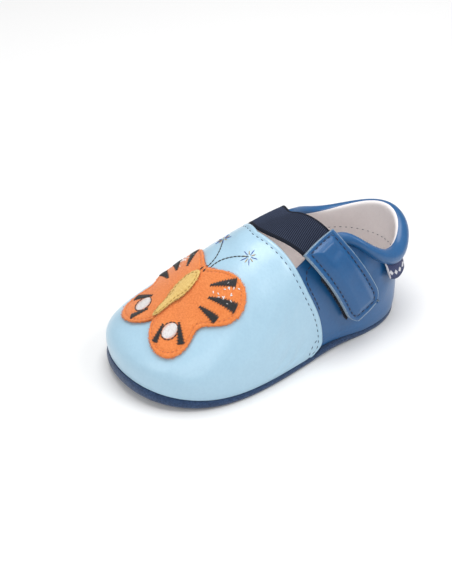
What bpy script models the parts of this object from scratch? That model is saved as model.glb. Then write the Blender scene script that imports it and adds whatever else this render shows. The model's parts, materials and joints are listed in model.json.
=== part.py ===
"""A baby's soft-soled leather shoe for the left foot, in metres, standing on Z = 0.

The toe points to -Y and the outer (lateral) side to +X. Every piece is laid on one last form:
a point of it is named by its station along the shoe (0 heel, 1 toe) and by its place round the
girth (1 at the lateral seam, 0 on the ridge over the instep, -1 at the medial seam).
"""

from collections import namedtuple

import bmesh
import bpy
import numpy as np
from mathutils import Vector
from mathutils.bvhtree import BVHTree

MM = 0.001

# Driving sizes
LENGTH = 128.0 * MM
SEAM_HEIGHT = 2.8 * MM
WIDEST_HEIGHT = 7.5 * MM
SEAM_TUCK = 0.02
ROUNDNESS = 2.18
MEDIAL_EASE = 0.26
EASE_REACH, EASE_FADE = (0.20, 0.95), 0.22
TOE_SPRING = 5.0 * MM
SOLE_TOE_SPRING = 2.4 * MM
SPRING_START = 0.66
ARCH_RISE = 0.8 * MM
ARCH_CENTRE, ARCH_REACH = 0.36, 0.13
HEEL_FLARE = 8.0 * MM
FLARE_HEIGHT = 45.0 * MM
FLARE_REACH = 0.30
GAP = 0.3 * MM
WELD = 0.02 * MM

# Wall and layer thicknesses
UPPER_WALL = 1.4 * MM
VAMP_WALL = 1.2 * MM
INSOLE_THICK = 2.0 * MM
ELASTIC_THICK = 1.3 * MM
TAB_THICK = 1.6 * MM
SUEDE_THICK = 1.1 * MM

# Edge of the outsole from its top rim down: distance inside the seam line and level, in millimetres.
Rim = namedtuple("Rim", "inset level")
OUTSOLE_RIM = (
    Rim(0.1, 2.50),
    Rim(-0.5, 1.75),
    Rim(-0.6, 0.90),
    Rim(-0.1, 0.25),
    Rim(1.6, 0.00),
)
# The rim is tucked in under the heel and stands out at the toe.
HEEL_TUCK, TOE_PROUD = 0.7 * MM, 0.3 * MM
INSOLE_MARGIN = 0.6 * MM
INSOLE_ROUND = 1.0 * MM

# The last, a row for each section: station along the shoe as a share of its length, half widths on
# the outer and inner side of the foot, and the height of the ridge, in millimetres.
Section = namedtuple("Section", "along lateral medial ridge")
SECTIONS = (
    Section(0.000, 0.0, 0.0, 62.0),
    Section(0.045, 14.9, 14.9, 59.5),
    Section(0.140, 23.4, 22.9, 54.0),
    Section(0.280, 25.9, 24.5, 51.5),
    Section(0.430, 27.7, 25.3, 52.5),
    Section(0.580, 30.7, 27.8, 47.3),
    Section(0.720, 32.0, 30.7, 38.0),
    Section(0.840, 29.5, 31.2, 27.6),
    Section(0.940, 20.6, 24.7, 22.0),
    Section(1.000, -3.0, 3.0, 20.5),
)
SPINE_MIDDLE = 0.5
SPINE_TOE_PULL, SPINE_HEEL_PULL = 0.40, 0.45
WIDEST_GIRTH = 0.15

# Back edge of the vamp: girth share from the seam (0) to the ridge (1), and station there.
Edge = namedtuple("Edge", "girth along")
VAMP_EDGE = (
    Edge(0.00, 0.447),
    Edge(0.05, 0.426),
    Edge(0.12, 0.413),
    Edge(0.20, 0.414),
    Edge(0.32, 0.431),
    Edge(0.45, 0.456),
    Edge(0.58, 0.473),
    Edge(0.72, 0.490),
    Edge(0.86, 0.505),
    Edge(1.00, 0.517),
)
QUARTER_TOP_GIRTH = 0.58
SINK_START, SINK_REACH = 0.22, 0.20

# Top line of the quarter on each side, from the back of the heel to the vamp's edge: station, height in
# millimetres. Under the tab the outer side is drawn up by the strap.
TopPoint = namedtuple("TopPoint", "along height")
TOPLINE_LATERAL = (
    TopPoint(0.000, 38.6),
    TopPoint(0.035, 35.4),
    TopPoint(0.070, 33.0),
    TopPoint(0.105, 32.7),
    TopPoint(0.135, 34.0),
    TopPoint(0.162, 36.3),
    TopPoint(0.190, 39.3),
    TopPoint(0.215, 42.2),
    TopPoint(0.245, 44.4),
    TopPoint(0.280, 45.2),
    TopPoint(0.330, 45.0),
    TopPoint(0.390, 44.2),
    TopPoint(0.446, 42.0),
    TopPoint(0.487, 40.3),
)
TOPLINE_MEDIAL = (
    TopPoint(0.000, 38.6),
    TopPoint(0.032, 36.0),
    TopPoint(0.063, 34.3),
    TopPoint(0.095, 33.4),
    TopPoint(0.130, 33.5),
    TopPoint(0.193, 36.1),
    TopPoint(0.250, 39.7),
    TopPoint(0.306, 43.2),
    TopPoint(0.350, 44.2),
    TopPoint(0.390, 44.0),
    TopPoint(0.446, 42.0),
    TopPoint(0.487, 40.3),
)

# Padded collar: station, height of the roll and how far it stands out, in millimetres.
Roll = namedtuple("Roll", "along height bulge")
COLLAR = (
    Roll(0.00, 6.4, 3.4),
    Roll(0.10, 5.4, 3.4),
    Roll(0.17, 5.2, 3.2),
    Roll(0.22, 4.6, 2.4),
    Roll(0.26, 3.2, 1.0),
    Roll(0.32, 2.2, 0.3),
)
COLLAR_FRONT_LATERAL, COLLAR_FRONT_MEDIAL = 0.275, 0.312

# Section of that roll from its lower seam over the crest to the inside: share of the way up to the top
# line, share of the bulge, and millimetres out from the quarter's skin and above the top line.
RollPoint = namedtuple("RollPoint", "climb bulge out above")
ROLL_SECTION = (
    RollPoint(0.00, 0.00, 0.30, 0.00),
    RollPoint(0.00, 0.45, 0.30, 0.00),
    RollPoint(0.38, 0.95, 0.30, 0.00),
    RollPoint(0.70, 1.00, 0.30, 0.00),
    RollPoint(0.95, 0.72, 0.30, 0.00),
    RollPoint(1.00, 0.25, 0.00, 1.30),
    RollPoint(1.00, 0.00, -0.84, 1.30),
    RollPoint(1.00, 0.00, -1.40, 0.70),
    RollPoint(1.00, 0.00, -1.12, 0.36),
    RollPoint(1.00, 0.00, 0.30, 0.36),
)

# Centre line of the strap: place round the girth (lateral +, medial -), station there, and how far
# its inner face stands off the last, in millimetres.
StrapPoint = namedtuple("StrapPoint", "around along rise")
STRAP = (
    StrapPoint(-0.80, 0.288, 0.6),
    StrapPoint(-0.55, 0.349, 0.6),
    StrapPoint(-0.40, 0.385, 0.4),
    StrapPoint(-0.26, 0.414, -1.0),
    StrapPoint(-0.12, 0.436, -1.9),
    StrapPoint(0.00, 0.444, -1.5),
    StrapPoint(0.12, 0.430, 0.1),
    StrapPoint(0.26, 0.395, 0.9),
    StrapPoint(0.40, 0.358, 0.1),
    StrapPoint(0.55, 0.314, 0.3),
    StrapPoint(0.80, 0.246, 0.4),
)
# Elastic and leather don't kink: each point of the strip is a mean of these places round it, with shares.
STRIP_EASE = ((-0.08, 1 / 16), (-0.04, 4 / 16), (0.0, 6 / 16), (0.04, 4 / 16), (0.08, 1 / 16))
ELASTIC_WIDTH = 16.2 * MM
ELASTIC_ENDS = (-0.74, 0.40)
TAB_WIDTH = 16.8 * MM
TAB_ENDS = (0.289, 0.785)
TAB_SKEW = 0.053
TAB_CORNER, TAB_TAPER, TAB_TURN = 0.16, 0.42, 2.4
TAB_RISE_END = 1.6 * MM
TAB_SETTLES = (0.42, 0.62)
PAD_WIDTH = 15.0 * MM
PAD_ENDS = (0.47, 0.738)
PAD_CLEAR = 0.39 * MM

# Folded label, caught in the collar's seam at the outer side of the heel.
LABEL_ALONG = (0.060, 0.150)
LABEL_DROP = 5.8 * MM
LABEL_THICK = 1.2 * MM
LABEL_STAND_OFF = 1.4 * MM

# Butterfly of suede on the toe: outline in polar steps from the tail (-90 degrees) to the head (90).
Lobe = namedtuple("Lobe", "angle radius")
WING_LOBES = (
    Lobe(-90, 11.0),
    Lobe(-68, 18.0),
    Lobe(-45, 22.5),
    Lobe(-22, 20.2),
    Lobe(-4, 17.0),
    Lobe(14, 22.2),
    Lobe(32, 26.5),
    Lobe(50, 24.5),
    Lobe(70, 16.4),
    Lobe(90, 13.0),
)
WING_CENTRE = (0.0, 0.794)
BODY_LENGTH, BODY_WIDTH, BODY_TAPER = 21.0 * MM, 7.8 * MM, 0.28
WING_CELL = 5.0 * MM


# Smooth curves through the tables
def natural_spline(knots, values):
    """A smooth function through a table, straight at both ends."""
    x, y = np.asarray(knots, float), np.asarray(values, float)
    step = np.diff(x)
    matrix, right = np.eye(len(x)), np.zeros(len(x))
    for i in range(1, len(x) - 1):
        matrix[i, i - 1 : i + 2] = step[i - 1], 2 * (step[i - 1] + step[i]), step[i]
        right[i] = 6 * ((y[i + 1] - y[i]) / step[i] - (y[i] - y[i - 1]) / step[i - 1])
    bend = np.linalg.solve(matrix, right)

    def curve(at):
        at = np.asarray(at, float)
        i = np.clip(np.searchsorted(x, at, side="right") - 1, 0, len(x) - 2)
        h, past, left = step[i], at - x[i], x[i + 1] - at
        cubic = (bend[i] * left**3 + bend[i + 1] * past**3) / (6 * h)
        return cubic + (y[i] / h - bend[i] * h / 6) * left + (y[i + 1] / h - bend[i + 1] * h / 6) * past

    return curve


def closed_spline(points):
    """Dense points on a smooth closed curve, and the index of each given point among them."""
    p = np.asarray(points, float)
    count = len(p)
    step = np.linalg.norm(np.roll(p, -1, axis=0) - p, axis=1)
    matrix, right = np.zeros((count, count)), np.zeros_like(p)
    for i in range(count):
        before, after = step[i - 1], step[i]
        matrix[i, i - 1] += before
        matrix[i, i] += 2 * (before + after)
        matrix[i, (i + 1) % count] += after
        right[i] = 6 * ((p[(i + 1) % count] - p[i]) / after - (p[i] - p[i - 1]) / before)
    bend = np.linalg.solve(matrix, right)
    dense = 200
    share = np.linspace(0, 1, dense, endpoint=False)[:, None]
    runs = []
    for i in range(count):
        j, h = (i + 1) % count, step[i]
        past, left = share * h, (1 - share) * h
        cubic = (bend[i] * left**3 + bend[j] * past**3) / (6 * h)
        runs.append(cubic + (p[i] / h - bend[i] * h / 6) * left + (p[j] / h - bend[j] * h / 6) * past)
    return np.concatenate(runs), np.arange(count) * dense


def smooth_step(value):
    value = np.clip(value, 0.0, 1.0)
    return value * value * (3 - 2 * value)


# The last
def half_outlines():
    """Each side's widest outline from heel to toe, as (x, along) at even steps of its own length."""
    lateral = [(row.lateral * MM, row.along * LENGTH) for row in SECTIONS]
    medial = [(-row.medial * MM, row.along * LENGTH) for row in SECTIONS[1:-1]]
    dense, marks = closed_spline(lateral + medial[::-1])
    tip = marks[len(SECTIONS) - 1]
    halves = (dense[: tip + 1], np.concatenate([dense[tip:], dense[:1]])[::-1])
    even = []
    for half in halves:
        walked = np.concatenate([[0], np.cumsum(np.linalg.norm(np.diff(half, axis=0), axis=1))])
        share = np.linspace(0, 1, 1201)
        even.append(np.stack([np.interp(share, walked / walked[-1], half[:, k]) for k in (0, 1)], axis=-1))
    return even


LATERAL, MEDIAL = half_outlines()
STEPS = np.linspace(0, 1, len(LATERAL))
MEAN_ALONG = np.maximum.accumulate((LATERAL[:, 1] + MEDIAL[:, 1]) / 2 / LENGTH)
ridge_height = natural_spline([row.along for row in SECTIONS], [row.ridge * MM for row in SECTIONS])
vamp_edge = natural_spline([row.girth for row in VAMP_EDGE], [row.along for row in VAMP_EDGE])
top_height = {
    side: natural_spline([row.along for row in table], [row.height * MM for row in table])
    for side, table in ((1.0, TOPLINE_LATERAL), (-1.0, TOPLINE_MEDIAL))
}
roll_height = natural_spline([row.along for row in COLLAR], [row.height * MM for row in COLLAR])
roll_bulge = natural_spline([row.along for row in COLLAR], [row.bulge * MM for row in COLLAR])
strap_along = natural_spline([row.around for row in STRAP], [row.along for row in STRAP])
strap_rise = natural_spline([row.around for row in STRAP], [row.rise * MM for row in STRAP])


def lift(along, spring=TOE_SPRING):
    """How far the sole line is off the floor: the toe spring and a slight arch."""
    past = np.clip((along - SPRING_START) / (1 - SPRING_START), 0, None)
    waist = np.clip(1 - ((along - ARCH_CENTRE) / ARCH_REACH) ** 2, 0, 1)
    return spring * past**2 + ARCH_RISE * waist**2


def plan(along, side):
    """The widest outline, and the spine point that its section leans to, as (x, along in metres)."""
    step = np.interp(along, MEAN_ALONG, STEPS)
    base = np.where(
        (side >= 0)[..., None],
        np.stack([np.interp(step, STEPS, LATERAL[:, k]) for k in (0, 1)], axis=-1),
        np.stack([np.interp(step, STEPS, MEDIAL[:, k]) for k in (0, 1)], axis=-1),
    )
    past = along - SPINE_MIDDLE
    pull = np.where(past > 0, SPINE_TOE_PULL, SPINE_HEEL_PULL)
    spine_along = SPINE_MIDDLE + past * (1 - pull * np.abs(past) / SPINE_MIDDLE)
    return base, np.stack([np.zeros_like(spine_along), spine_along * LENGTH], axis=-1)


def roundness(along, side):
    """How square a section's shoulders are: the inner side of the instep is a little slacker."""
    behind, ahead = EASE_REACH
    instep = smooth_step((along - behind) / EASE_FADE) * smooth_step((ahead - along) / EASE_FADE)
    return ROUNDNESS - np.where(side < 0, MEDIAL_EASE * instep, 0.0)


def bare_last(along, around):
    """Points of the last, toe to -Y."""
    base, spine = plan(along, around)
    girth = 1 - np.abs(around)
    low = np.clip(girth / WIDEST_GIRTH, 0, 1)
    turn = np.clip((girth - WIDEST_GIRTH) / (1 - WIDEST_GIRTH), 0, 1) * np.pi / 2
    power = 2 / roundness(along, around)
    reach = np.where(low < 1, 1 - SEAM_TUCK * (1 - low) ** 2, np.cos(turn) ** power)
    rise = np.sin(turn) ** power
    spot = spine + (base - spine) * reach[..., None]
    ridge = ridge_height(spot[..., 1] / LENGTH)
    height = SEAM_HEIGHT + (WIDEST_HEIGHT - SEAM_HEIGHT) * low + (ridge - WIDEST_HEIGHT) * rise
    outward = (base - spine) / np.linalg.norm(base - spine, axis=-1, keepdims=True)
    climb = np.clip((height - WIDEST_HEIGHT) / (FLARE_HEIGHT - WIDEST_HEIGHT), 0, 1.2) ** 2
    near_heel = np.clip(1 - base[..., 1] / LENGTH / FLARE_REACH, 0, 1) ** 1.5
    spot = spot + outward * (HEEL_FLARE * climb * near_heel)[..., None]
    share = spot[..., 1] / LENGTH
    return np.stack([spot[..., 0], LENGTH / 2 - spot[..., 1], height + lift(share)], axis=-1)


def last(along, around, offset=0.0):
    """Points of the last, moved out along its normal by offset."""
    along, around, offset = np.broadcast_arrays(*(np.asarray(v, float) for v in (along, around, offset)))
    here = bare_last(along, around)
    if not np.any(offset):
        return here
    step = 2e-3
    inner = np.where(np.abs(around) < step, step, around)
    tip = np.clip(along, 1e-4, 1 - 1e-4)
    toward_toe, toward_heel = np.minimum(tip + step, 1 - 1e-5), np.maximum(tip - step, 1e-5)
    ahead = bare_last(toward_toe, inner) - bare_last(toward_heel, inner)
    across = bare_last(tip, inner + step) - bare_last(tip, inner - step)
    normal = np.cross(ahead, across)
    length = np.linalg.norm(normal, axis=-1, keepdims=True)
    return here + normal / np.maximum(length, 1e-12) * offset[..., None]


def girth_at_height(along, side, height):
    """The girth share at which the wall of one side reaches a height."""
    along = np.asarray(along, float)
    low, high = np.zeros_like(along), np.ones_like(along)
    for _ in range(40):
        middle = (low + high) / 2
        below = bare_last(along, side * (1 - middle))[..., 2] < height
        low, high = np.where(below, middle, low), np.where(below, high, middle)
    return (low + high) / 2


def quarter_offset(along):
    """The quarter's skin sinks under the vamp, by the vamp's own thickness."""
    return -(VAMP_WALL + GAP) * smooth_step((along - SINK_START) / SINK_REACH)


# Mesh helpers
def sheet(rows):
    """A bmesh of one sheet, from a table of points with a row for each line across it."""
    rows = np.asarray(rows, float)
    bm = bmesh.new()
    across, down = rows.shape[1], rows.shape[0]
    bmesh.ops.create_grid(bm, x_segments=across - 1, y_segments=down - 1, size=1.0)
    for vert in bm.verts:
        column = round((vert.co.x + 1) / 2 * (across - 1))
        row = round((vert.co.y + 1) / 2 * (down - 1))
        vert.co = Vector(rows[row, column])
    return bm


def welded(sheets):
    """Sheets that share an edge, as one bmesh."""
    whole = bmesh.new()
    for bm in sheets:
        mesh = bpy.data.meshes.new("sheet")
        bm.to_mesh(mesh)
        bm.free()
        whole.from_mesh(mesh)
        bpy.data.meshes.remove(mesh)
    bmesh.ops.remove_doubles(whole, verts=whole.verts, dist=WELD)
    bmesh.ops.dissolve_degenerate(whole, edges=whole.edges, dist=WELD / 2)
    return whole


def face_out(bm, inside):
    """Turns an open sheet's faces away from a point inside it."""
    bmesh.ops.recalc_face_normals(bm, faces=bm.faces)
    turned = sum(f.normal.dot(f.calc_center_median() - Vector(inside)) * f.calc_area() for f in bm.faces)
    if turned < 0:
        bmesh.ops.reverse_faces(bm, faces=bm.faces)


def material(name, colour, roughness):
    made = bpy.data.materials.new(name)
    made.use_nodes = True
    shader = made.node_tree.nodes["Principled BSDF"]
    shader.inputs["Base Color"].default_value = (*colour, 1.0)
    shader.inputs["Roughness"].default_value = roughness
    shader.inputs["Metallic"].default_value = 0.0
    return made


def finish(name, bm, look, wall=None):
    """A named object from a bmesh, given its wall thickness where it is a sheet."""
    mesh = bpy.data.meshes.new(name)
    bm.to_mesh(mesh)
    bm.free()
    mesh.shade_smooth()
    mesh.materials.append(look)
    made = bpy.data.objects.new(name, mesh)
    bpy.context.scene.collection.objects.link(made)
    made.parent = bpy.data.objects["shoe"]
    if wall:
        solid = made.modifiers.new("wall", "SOLIDIFY")
        solid.thickness = wall
        solid.offset = -1.0
        solid.use_even_offset = True
    return made


def tube_closed(rows):
    """A solid from section rings, a row of points each, that shrink to a line at both ends."""
    bm = sheet(np.concatenate([rows, rows[:, :1]], axis=1))
    bmesh.ops.remove_doubles(bm, verts=bm.verts, dist=WELD)
    bmesh.ops.dissolve_degenerate(bm, edges=bm.edges, dist=WELD / 2)
    bmesh.ops.recalc_face_normals(bm, faces=bm.faces)
    return bm


def tube_capped(rows):
    """A solid from section rings with a flat cap at each end."""
    bm = sheet(np.concatenate([rows, rows[:, :1]], axis=1))
    bmesh.ops.remove_doubles(bm, verts=bm.verts, dist=WELD / 2)
    bmesh.ops.holes_fill(bm, edges=[e for e in bm.edges if e.is_boundary], sides=0)
    bmesh.ops.triangulate(bm, faces=[f for f in bm.faces if len(f.verts) > 4])
    bmesh.ops.recalc_face_normals(bm, faces=bm.faces)
    return bm


def round_ended(count):
    """Stations from 0 to 1 that crowd towards both ends."""
    return (1 - np.cos(np.linspace(0, np.pi, count))) / 2


# Sole
def plate(edge, stations, extra_inset, lower_spring):
    """A sole layer: edge lists (inset from the seam line, level) from its top rim to its underside.

    lower_spring is the toe spring of the underside, which makes a layer thicker at the toe.
    """
    rings = []
    for along in stations:
        ring = []
        for side, order in ((1.0, edge), (-1.0, edge[::-1])):
            base, spine = plan(np.array(along), np.array(side))
            reach = np.linalg.norm(base - spine)
            for inset, level in order:
                share = 1 - SEAM_TUCK - (inset + extra_inset(along)) / reach
                ring.append((*(spine + (base - spine) * share), level))
            ring.append((*spine, order[-1][1]))
        rings.append(ring)
    points = np.array(rings)
    top, bottom = edge[0][1], edge[-1][1]
    share = (points[..., 2] - bottom) / (top - bottom)
    spring = lower_spring + (TOE_SPRING - lower_spring) * share
    level = points[..., 2] + lift(points[..., 1] / LENGTH, spring)
    return np.stack([points[..., 0], LENGTH / 2 - points[..., 1], level], axis=-1)


def make_outsole(look):
    def rim_inset(along):
        return HEEL_TUCK - (HEEL_TUCK + TOE_PROUD) * smooth_step(along)

    edge = [(row.inset * MM, row.level * MM) for row in OUTSOLE_RIM]
    finish("outsole", tube_closed(plate(edge, round_ended(45), rim_inset, SOLE_TOE_SPRING)), look)


def make_insole(look):
    bottom = SEAM_HEIGHT
    top = bottom + INSOLE_THICK
    edge = [(INSOLE_ROUND, top), (0.0, top - INSOLE_ROUND), (0.0, bottom)]
    inset = UPPER_WALL + INSOLE_MARGIN
    rings = plate(edge, round_ended(33), lambda along: inset - quarter_offset(along), TOE_SPRING)
    finish("insole", tube_closed(rings), look)


# Upper and vamp
GIRTH_ROWS = np.array([0, 0.03, 0.07, 0.11, 0.16, 0.25, 0.36, 0.47, 0.58, 0.68, 0.77, 0.85, 0.93, 1.0])
QUARTER_ROWS = 8
TOE_COLUMNS = 15
QUARTER_COLUMNS = 22


def toe_sheet(offset, finer=1):
    """The front of the upper, from the vamp's edge to the toe, seam over ridge to seam."""
    count = len(GIRTH_ROWS) - 1
    girth = np.interp(np.linspace(0, count, count * finer + 1), np.arange(count + 1), GIRTH_ROWS)
    around = np.concatenate([1 - girth, (girth - 1)[-2::-1]])
    edge = vamp_edge(1 - np.abs(around))
    share = np.sin(np.linspace(0, np.pi / 2, TOE_COLUMNS * finer))
    along = edge[:, None] + (1 - edge[:, None]) * share[None, :]
    return sheet(last(along, around[:, None], offset))


def quarter_sheet(side):
    """One side of the quarter, from the vamp's edge to the middle of the heel, seam to top line."""
    rows = GIRTH_ROWS[: QUARTER_ROWS + 1]
    share = np.sin(np.linspace(0, np.pi / 2, QUARTER_COLUMNS))
    front = vamp_edge(rows)
    along = front[:, None] * (1 - share[None, :])
    top_along = along[-1]
    top = girth_at_height(top_along, side, top_height[side](top_along))
    top[0] = QUARTER_TOP_GIRTH
    girth = rows[:, None] / QUARTER_TOP_GIRTH * top[None, :]
    return sheet(last(along, side * (1 - girth), quarter_offset(along)))


INSIDE = (0.0, 0.0, 0.015)
DOWN = Vector((0.0, 0.0, -1.0))


def make_upper(look):
    front = toe_sheet(-(VAMP_WALL + GAP))
    bm = welded([front, quarter_sheet(1.0), quarter_sheet(-1.0)])
    face_out(bm, INSIDE)
    finish("upper", bm, look, UPPER_WALL)


def make_vamp(look):
    bm = welded([toe_sheet(0.0)])
    face_out(bm, INSIDE)
    finish("vamp", bm, look, VAMP_WALL)


# Padded collar
def make_collar(look):
    half = (1 - round_ended(45)[22:]) * 2
    stations = [(share * COLLAR_FRONT_LATERAL, 1.0) for share in half]
    stations += [(share * COLLAR_FRONT_MEDIAL, -1.0) for share in half[-2::-1]]
    rings = []
    for along, side in stations:
        along = np.array(along)
        top_line = top_height[side](along)
        top = girth_at_height(along, side, top_line)
        skin = quarter_offset(along)
        lower = girth_at_height(along, side, top_line - roll_height(along))
        bulge = roll_bulge(along)
        edge = last(along, side * (1 - top), skin)
        up = edge - last(along, side * (1 - top + 0.04), skin)
        up = up / np.linalg.norm(up)
        ring = []
        for row in ROLL_SECTION:
            girth = lower + (top - lower) * row.climb
            place = last(along, side * (1 - girth), skin + row.bulge * bulge + row.out * MM)
            ring.append(place + up * row.above * MM)
        rings.append(ring)
    finish("collar_roll", tube_capped(np.array(rings)), look)


# Strap and its tab
def strip_points(around, sideways, offset):
    """Points beside the strap's centre line, sideways from it and at an offset off the last."""
    along = strap_along(around)
    step = 1e-3
    here = last(along, around)
    by_along = (last(along + step, around) - here) / step
    by_around = (last(along, around + step) - here) / step
    run = by_along * ((strap_along(around + step) - along) / step)[..., None] + by_around

    def dot(a, b):
        return np.sum(a * b, axis=-1)

    across = by_along - run * (dot(by_along, run) / dot(run, run))[..., None]
    across /= np.linalg.norm(across, axis=-1, keepdims=True)
    mixed, area = dot(by_along, by_around), dot(by_along, by_along) * dot(by_around, by_around)
    area = area - mixed**2
    place = sideways / area
    shift_along = dot(by_along, across) * dot(by_around, by_around) - dot(by_around, across) * mixed
    shift_around = dot(by_around, across) * dot(by_along, by_along) - dot(by_along, across) * mixed
    return last(along + shift_along * place, around + shift_around * place, offset)


def band(ends, half_width, outer_face, lengthwise, crosswise, skew=0.0):
    """A strip along the strap's centre line, with its half width by share of its length.

    outer_face gives its distance off the last by place round the girth, and skew drops the back corner
    of its first end.
    """
    share, cross = np.linspace(0, 1, lengthwise)[:, None], np.linspace(-1, 1, crosswise)[None, :]
    around = ends[0] + (ends[1] - ends[0]) * share + skew * (1 - share) * (1 - cross) / 2
    sideways = cross * half_width(share)
    points = 0.0
    for shift, weight in STRIP_EASE:
        points = points + weight * strip_points(around + shift, sideways, outer_face(around + shift))
    return sheet(points)


def make_elastic(look):
    def outer_face(around):
        return strap_rise(around) + ELASTIC_THICK

    bm = band(ELASTIC_ENDS, lambda share: ELASTIC_WIDTH / 2, outer_face, 30, 5)
    face_out(bm, INSIDE)
    finish("elastic_strap", bm, look, ELASTIC_THICK)


def make_tab(look):
    def half_width(share):
        past = np.clip((share - 1 + TAB_CORNER) / TAB_CORNER, 0, 1)
        return TAB_WIDTH / 2 * (1 - TAB_TAPER * past**TAB_TURN)

    def outer_face(around):
        over_elastic = strap_rise(around) + ELASTIC_THICK + GAP
        settled = smooth_step((around - TAB_SETTLES[0]) / (TAB_SETTLES[1] - TAB_SETTLES[0]))
        return over_elastic + (TAB_RISE_END - over_elastic) * settled + TAB_THICK

    bm = band(TAB_ENDS, half_width, outer_face, 20, 6, TAB_SKEW)
    face_out(bm, INSIDE)
    finish("strap_tab", bm, look, TAB_THICK)


def make_pad(look):
    top = TAB_RISE_END - PAD_CLEAR
    bm = band(PAD_ENDS, lambda share: PAD_WIDTH / 2, lambda around: np.full_like(around, top), 9, 5)
    face_out(bm, INSIDE)
    finish("fastener_pad", bm, look, top - PAD_CLEAR)


# Label
def make_label(look):
    rows = []
    along = np.linspace(*LABEL_ALONG, 6)
    seam = top_height[1.0](along) - roll_height(along)
    for share in np.linspace(0, 1, 5):
        height = seam - GAP - LABEL_DROP * share
        girth = girth_at_height(along, 1.0, height)
        stand_off = 2 * GAP + LABEL_THICK + LABEL_STAND_OFF * share
        rows.append(last(along, 1 - girth, stand_off))
    bm = sheet(rows)
    face_out(bm, INSIDE)
    finish("heel_label", bm, look, LABEL_THICK)


# Suede butterfly
def over_vamp(x, along, offset):
    """The points of the vamp that lie below (x, along) in plan, raised by offset off its slope."""
    skin = welded([toe_sheet(0.0, 4)])
    tree = BVHTree.FromBMesh(skin)
    skin.free()
    above, span = 100.0 * MM, 1.5 * MM

    def height(x, y):
        return np.array([tree.ray_cast(Vector((a, b, above)), DOWN)[0].z for a, b in zip(x, y)])

    y = LENGTH / 2 - along * LENGTH
    slope_x = (height(x + span, y) - height(x - span, y)) / (2 * span)
    slope_y = (height(x, y + span) - height(x, y - span)) / (2 * span)
    normal = np.stack([-slope_x, -slope_y, np.ones_like(x)], axis=-1)
    normal /= np.linalg.norm(normal, axis=-1, keepdims=True)
    return np.stack([x, y, height(x, y)], axis=-1) + normal * offset[:, None]


def suede_piece(name, outline, cell, base, look):
    """A flat outline cut into cells, laid on the vamp and raised to the suede's thickness."""
    bm = bmesh.new()
    bm.faces.new([bm.verts.new((x, y, 0.0)) for x, y in outline])
    low, high = outline.min(axis=0), outline.max(axis=0)
    for axis in (0, 1):
        normal = (1.0, 0.0, 0.0) if axis == 0 else (0.0, 1.0, 0.0)
        cuts = np.arange(np.ceil(low[axis] / cell) * cell, high[axis], cell)
        for cut in cuts:
            place = [0.0, 0.0, 0.0]
            place[axis] = cut + 0.013 * MM
            everything = bm.verts[:] + bm.edges[:] + bm.faces[:]
            bmesh.ops.bisect_plane(bm, geom=everything, dist=1e-7, plane_co=place, plane_no=normal)
    bmesh.ops.remove_doubles(bm, verts=bm.verts, dist=0.05 * MM)
    bmesh.ops.triangulate(bm, faces=bm.faces)
    raised = bmesh.ops.extrude_face_region(bm, geom=bm.faces[:])["geom"]
    top = {item for item in raised if isinstance(item, bmesh.types.BMVert)}
    verts = bm.verts[:]
    flat = np.array([vert.co[:2] for vert in verts])
    offset = np.array([base + SUEDE_THICK if vert in top else base for vert in verts])
    placed = over_vamp(flat[:, 0] + WING_CENTRE[0], WING_CENTRE[1] - flat[:, 1] / LENGTH, offset)
    for vert, point in zip(verts, placed):
        vert.co = Vector(point)
    bmesh.ops.recalc_face_normals(bm, faces=bm.faces)
    finish(name, bm, look)


def make_butterfly(wing_look, body_look):
    radius = natural_spline([lobe.angle for lobe in WING_LOBES], [lobe.radius * MM for lobe in WING_LOBES])
    angle = np.linspace(-90, 90, 31)
    right = np.stack([np.cos(np.radians(angle)), np.sin(np.radians(angle))], axis=-1) * radius(angle)[:, None]
    left = right[-2:0:-1] * (-1, 1)
    suede_piece("applique_wings", np.concatenate([right, left]), WING_CELL, GAP, wing_look)
    turn = np.linspace(0, 2 * np.pi, 24, endpoint=False)
    narrow = 1 - BODY_TAPER * (1 - np.sin(turn))
    body = np.stack([np.cos(turn) * BODY_WIDTH / 2 * narrow, np.sin(turn) * BODY_LENGTH / 2], axis=-1)
    suede_piece("applique_body", body, WING_CELL, 2 * GAP + SUEDE_THICK, body_look)


def main():
    for old in list(bpy.data.objects):
        bpy.data.objects.remove(old, do_unlink=True)
    shoe = bpy.data.objects.new("shoe", None)
    bpy.context.scene.collection.objects.link(shoe)
    blue = material("blue leather", (0.052, 0.135, 0.300), 0.45)
    make_outsole(material("navy suede", (0.028, 0.055, 0.140), 0.95))
    make_insole(material("cream leather", (0.76, 0.70, 0.67), 0.70))
    make_upper(blue)
    make_vamp(material("pale blue leather", (0.45, 0.70, 0.86), 0.40))
    make_collar(blue)
    make_elastic(material("navy elastic", (0.020, 0.022, 0.045), 0.85))
    make_tab(blue)
    make_pad(material("hook and loop", (0.012, 0.016, 0.035), 0.95))
    make_label(material("woven label", (0.050, 0.065, 0.160), 0.80))
    make_butterfly(
        material("orange suede", (0.82, 0.22, 0.035), 0.95),
        material("yellow suede", (0.78, 0.52, 0.14), 0.95),
    )


main()
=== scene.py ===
"""Looks of a baby's soft-soled leather shoe for the left foot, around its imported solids.

Metres, toe to -Y, outer side to +X, standing on Z = 0.
"""

import json
import math
from collections import namedtuple

import bmesh
import bpy
import numpy as np
from mathutils import Matrix, Vector
from mathutils.bvhtree import BVHTree

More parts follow.
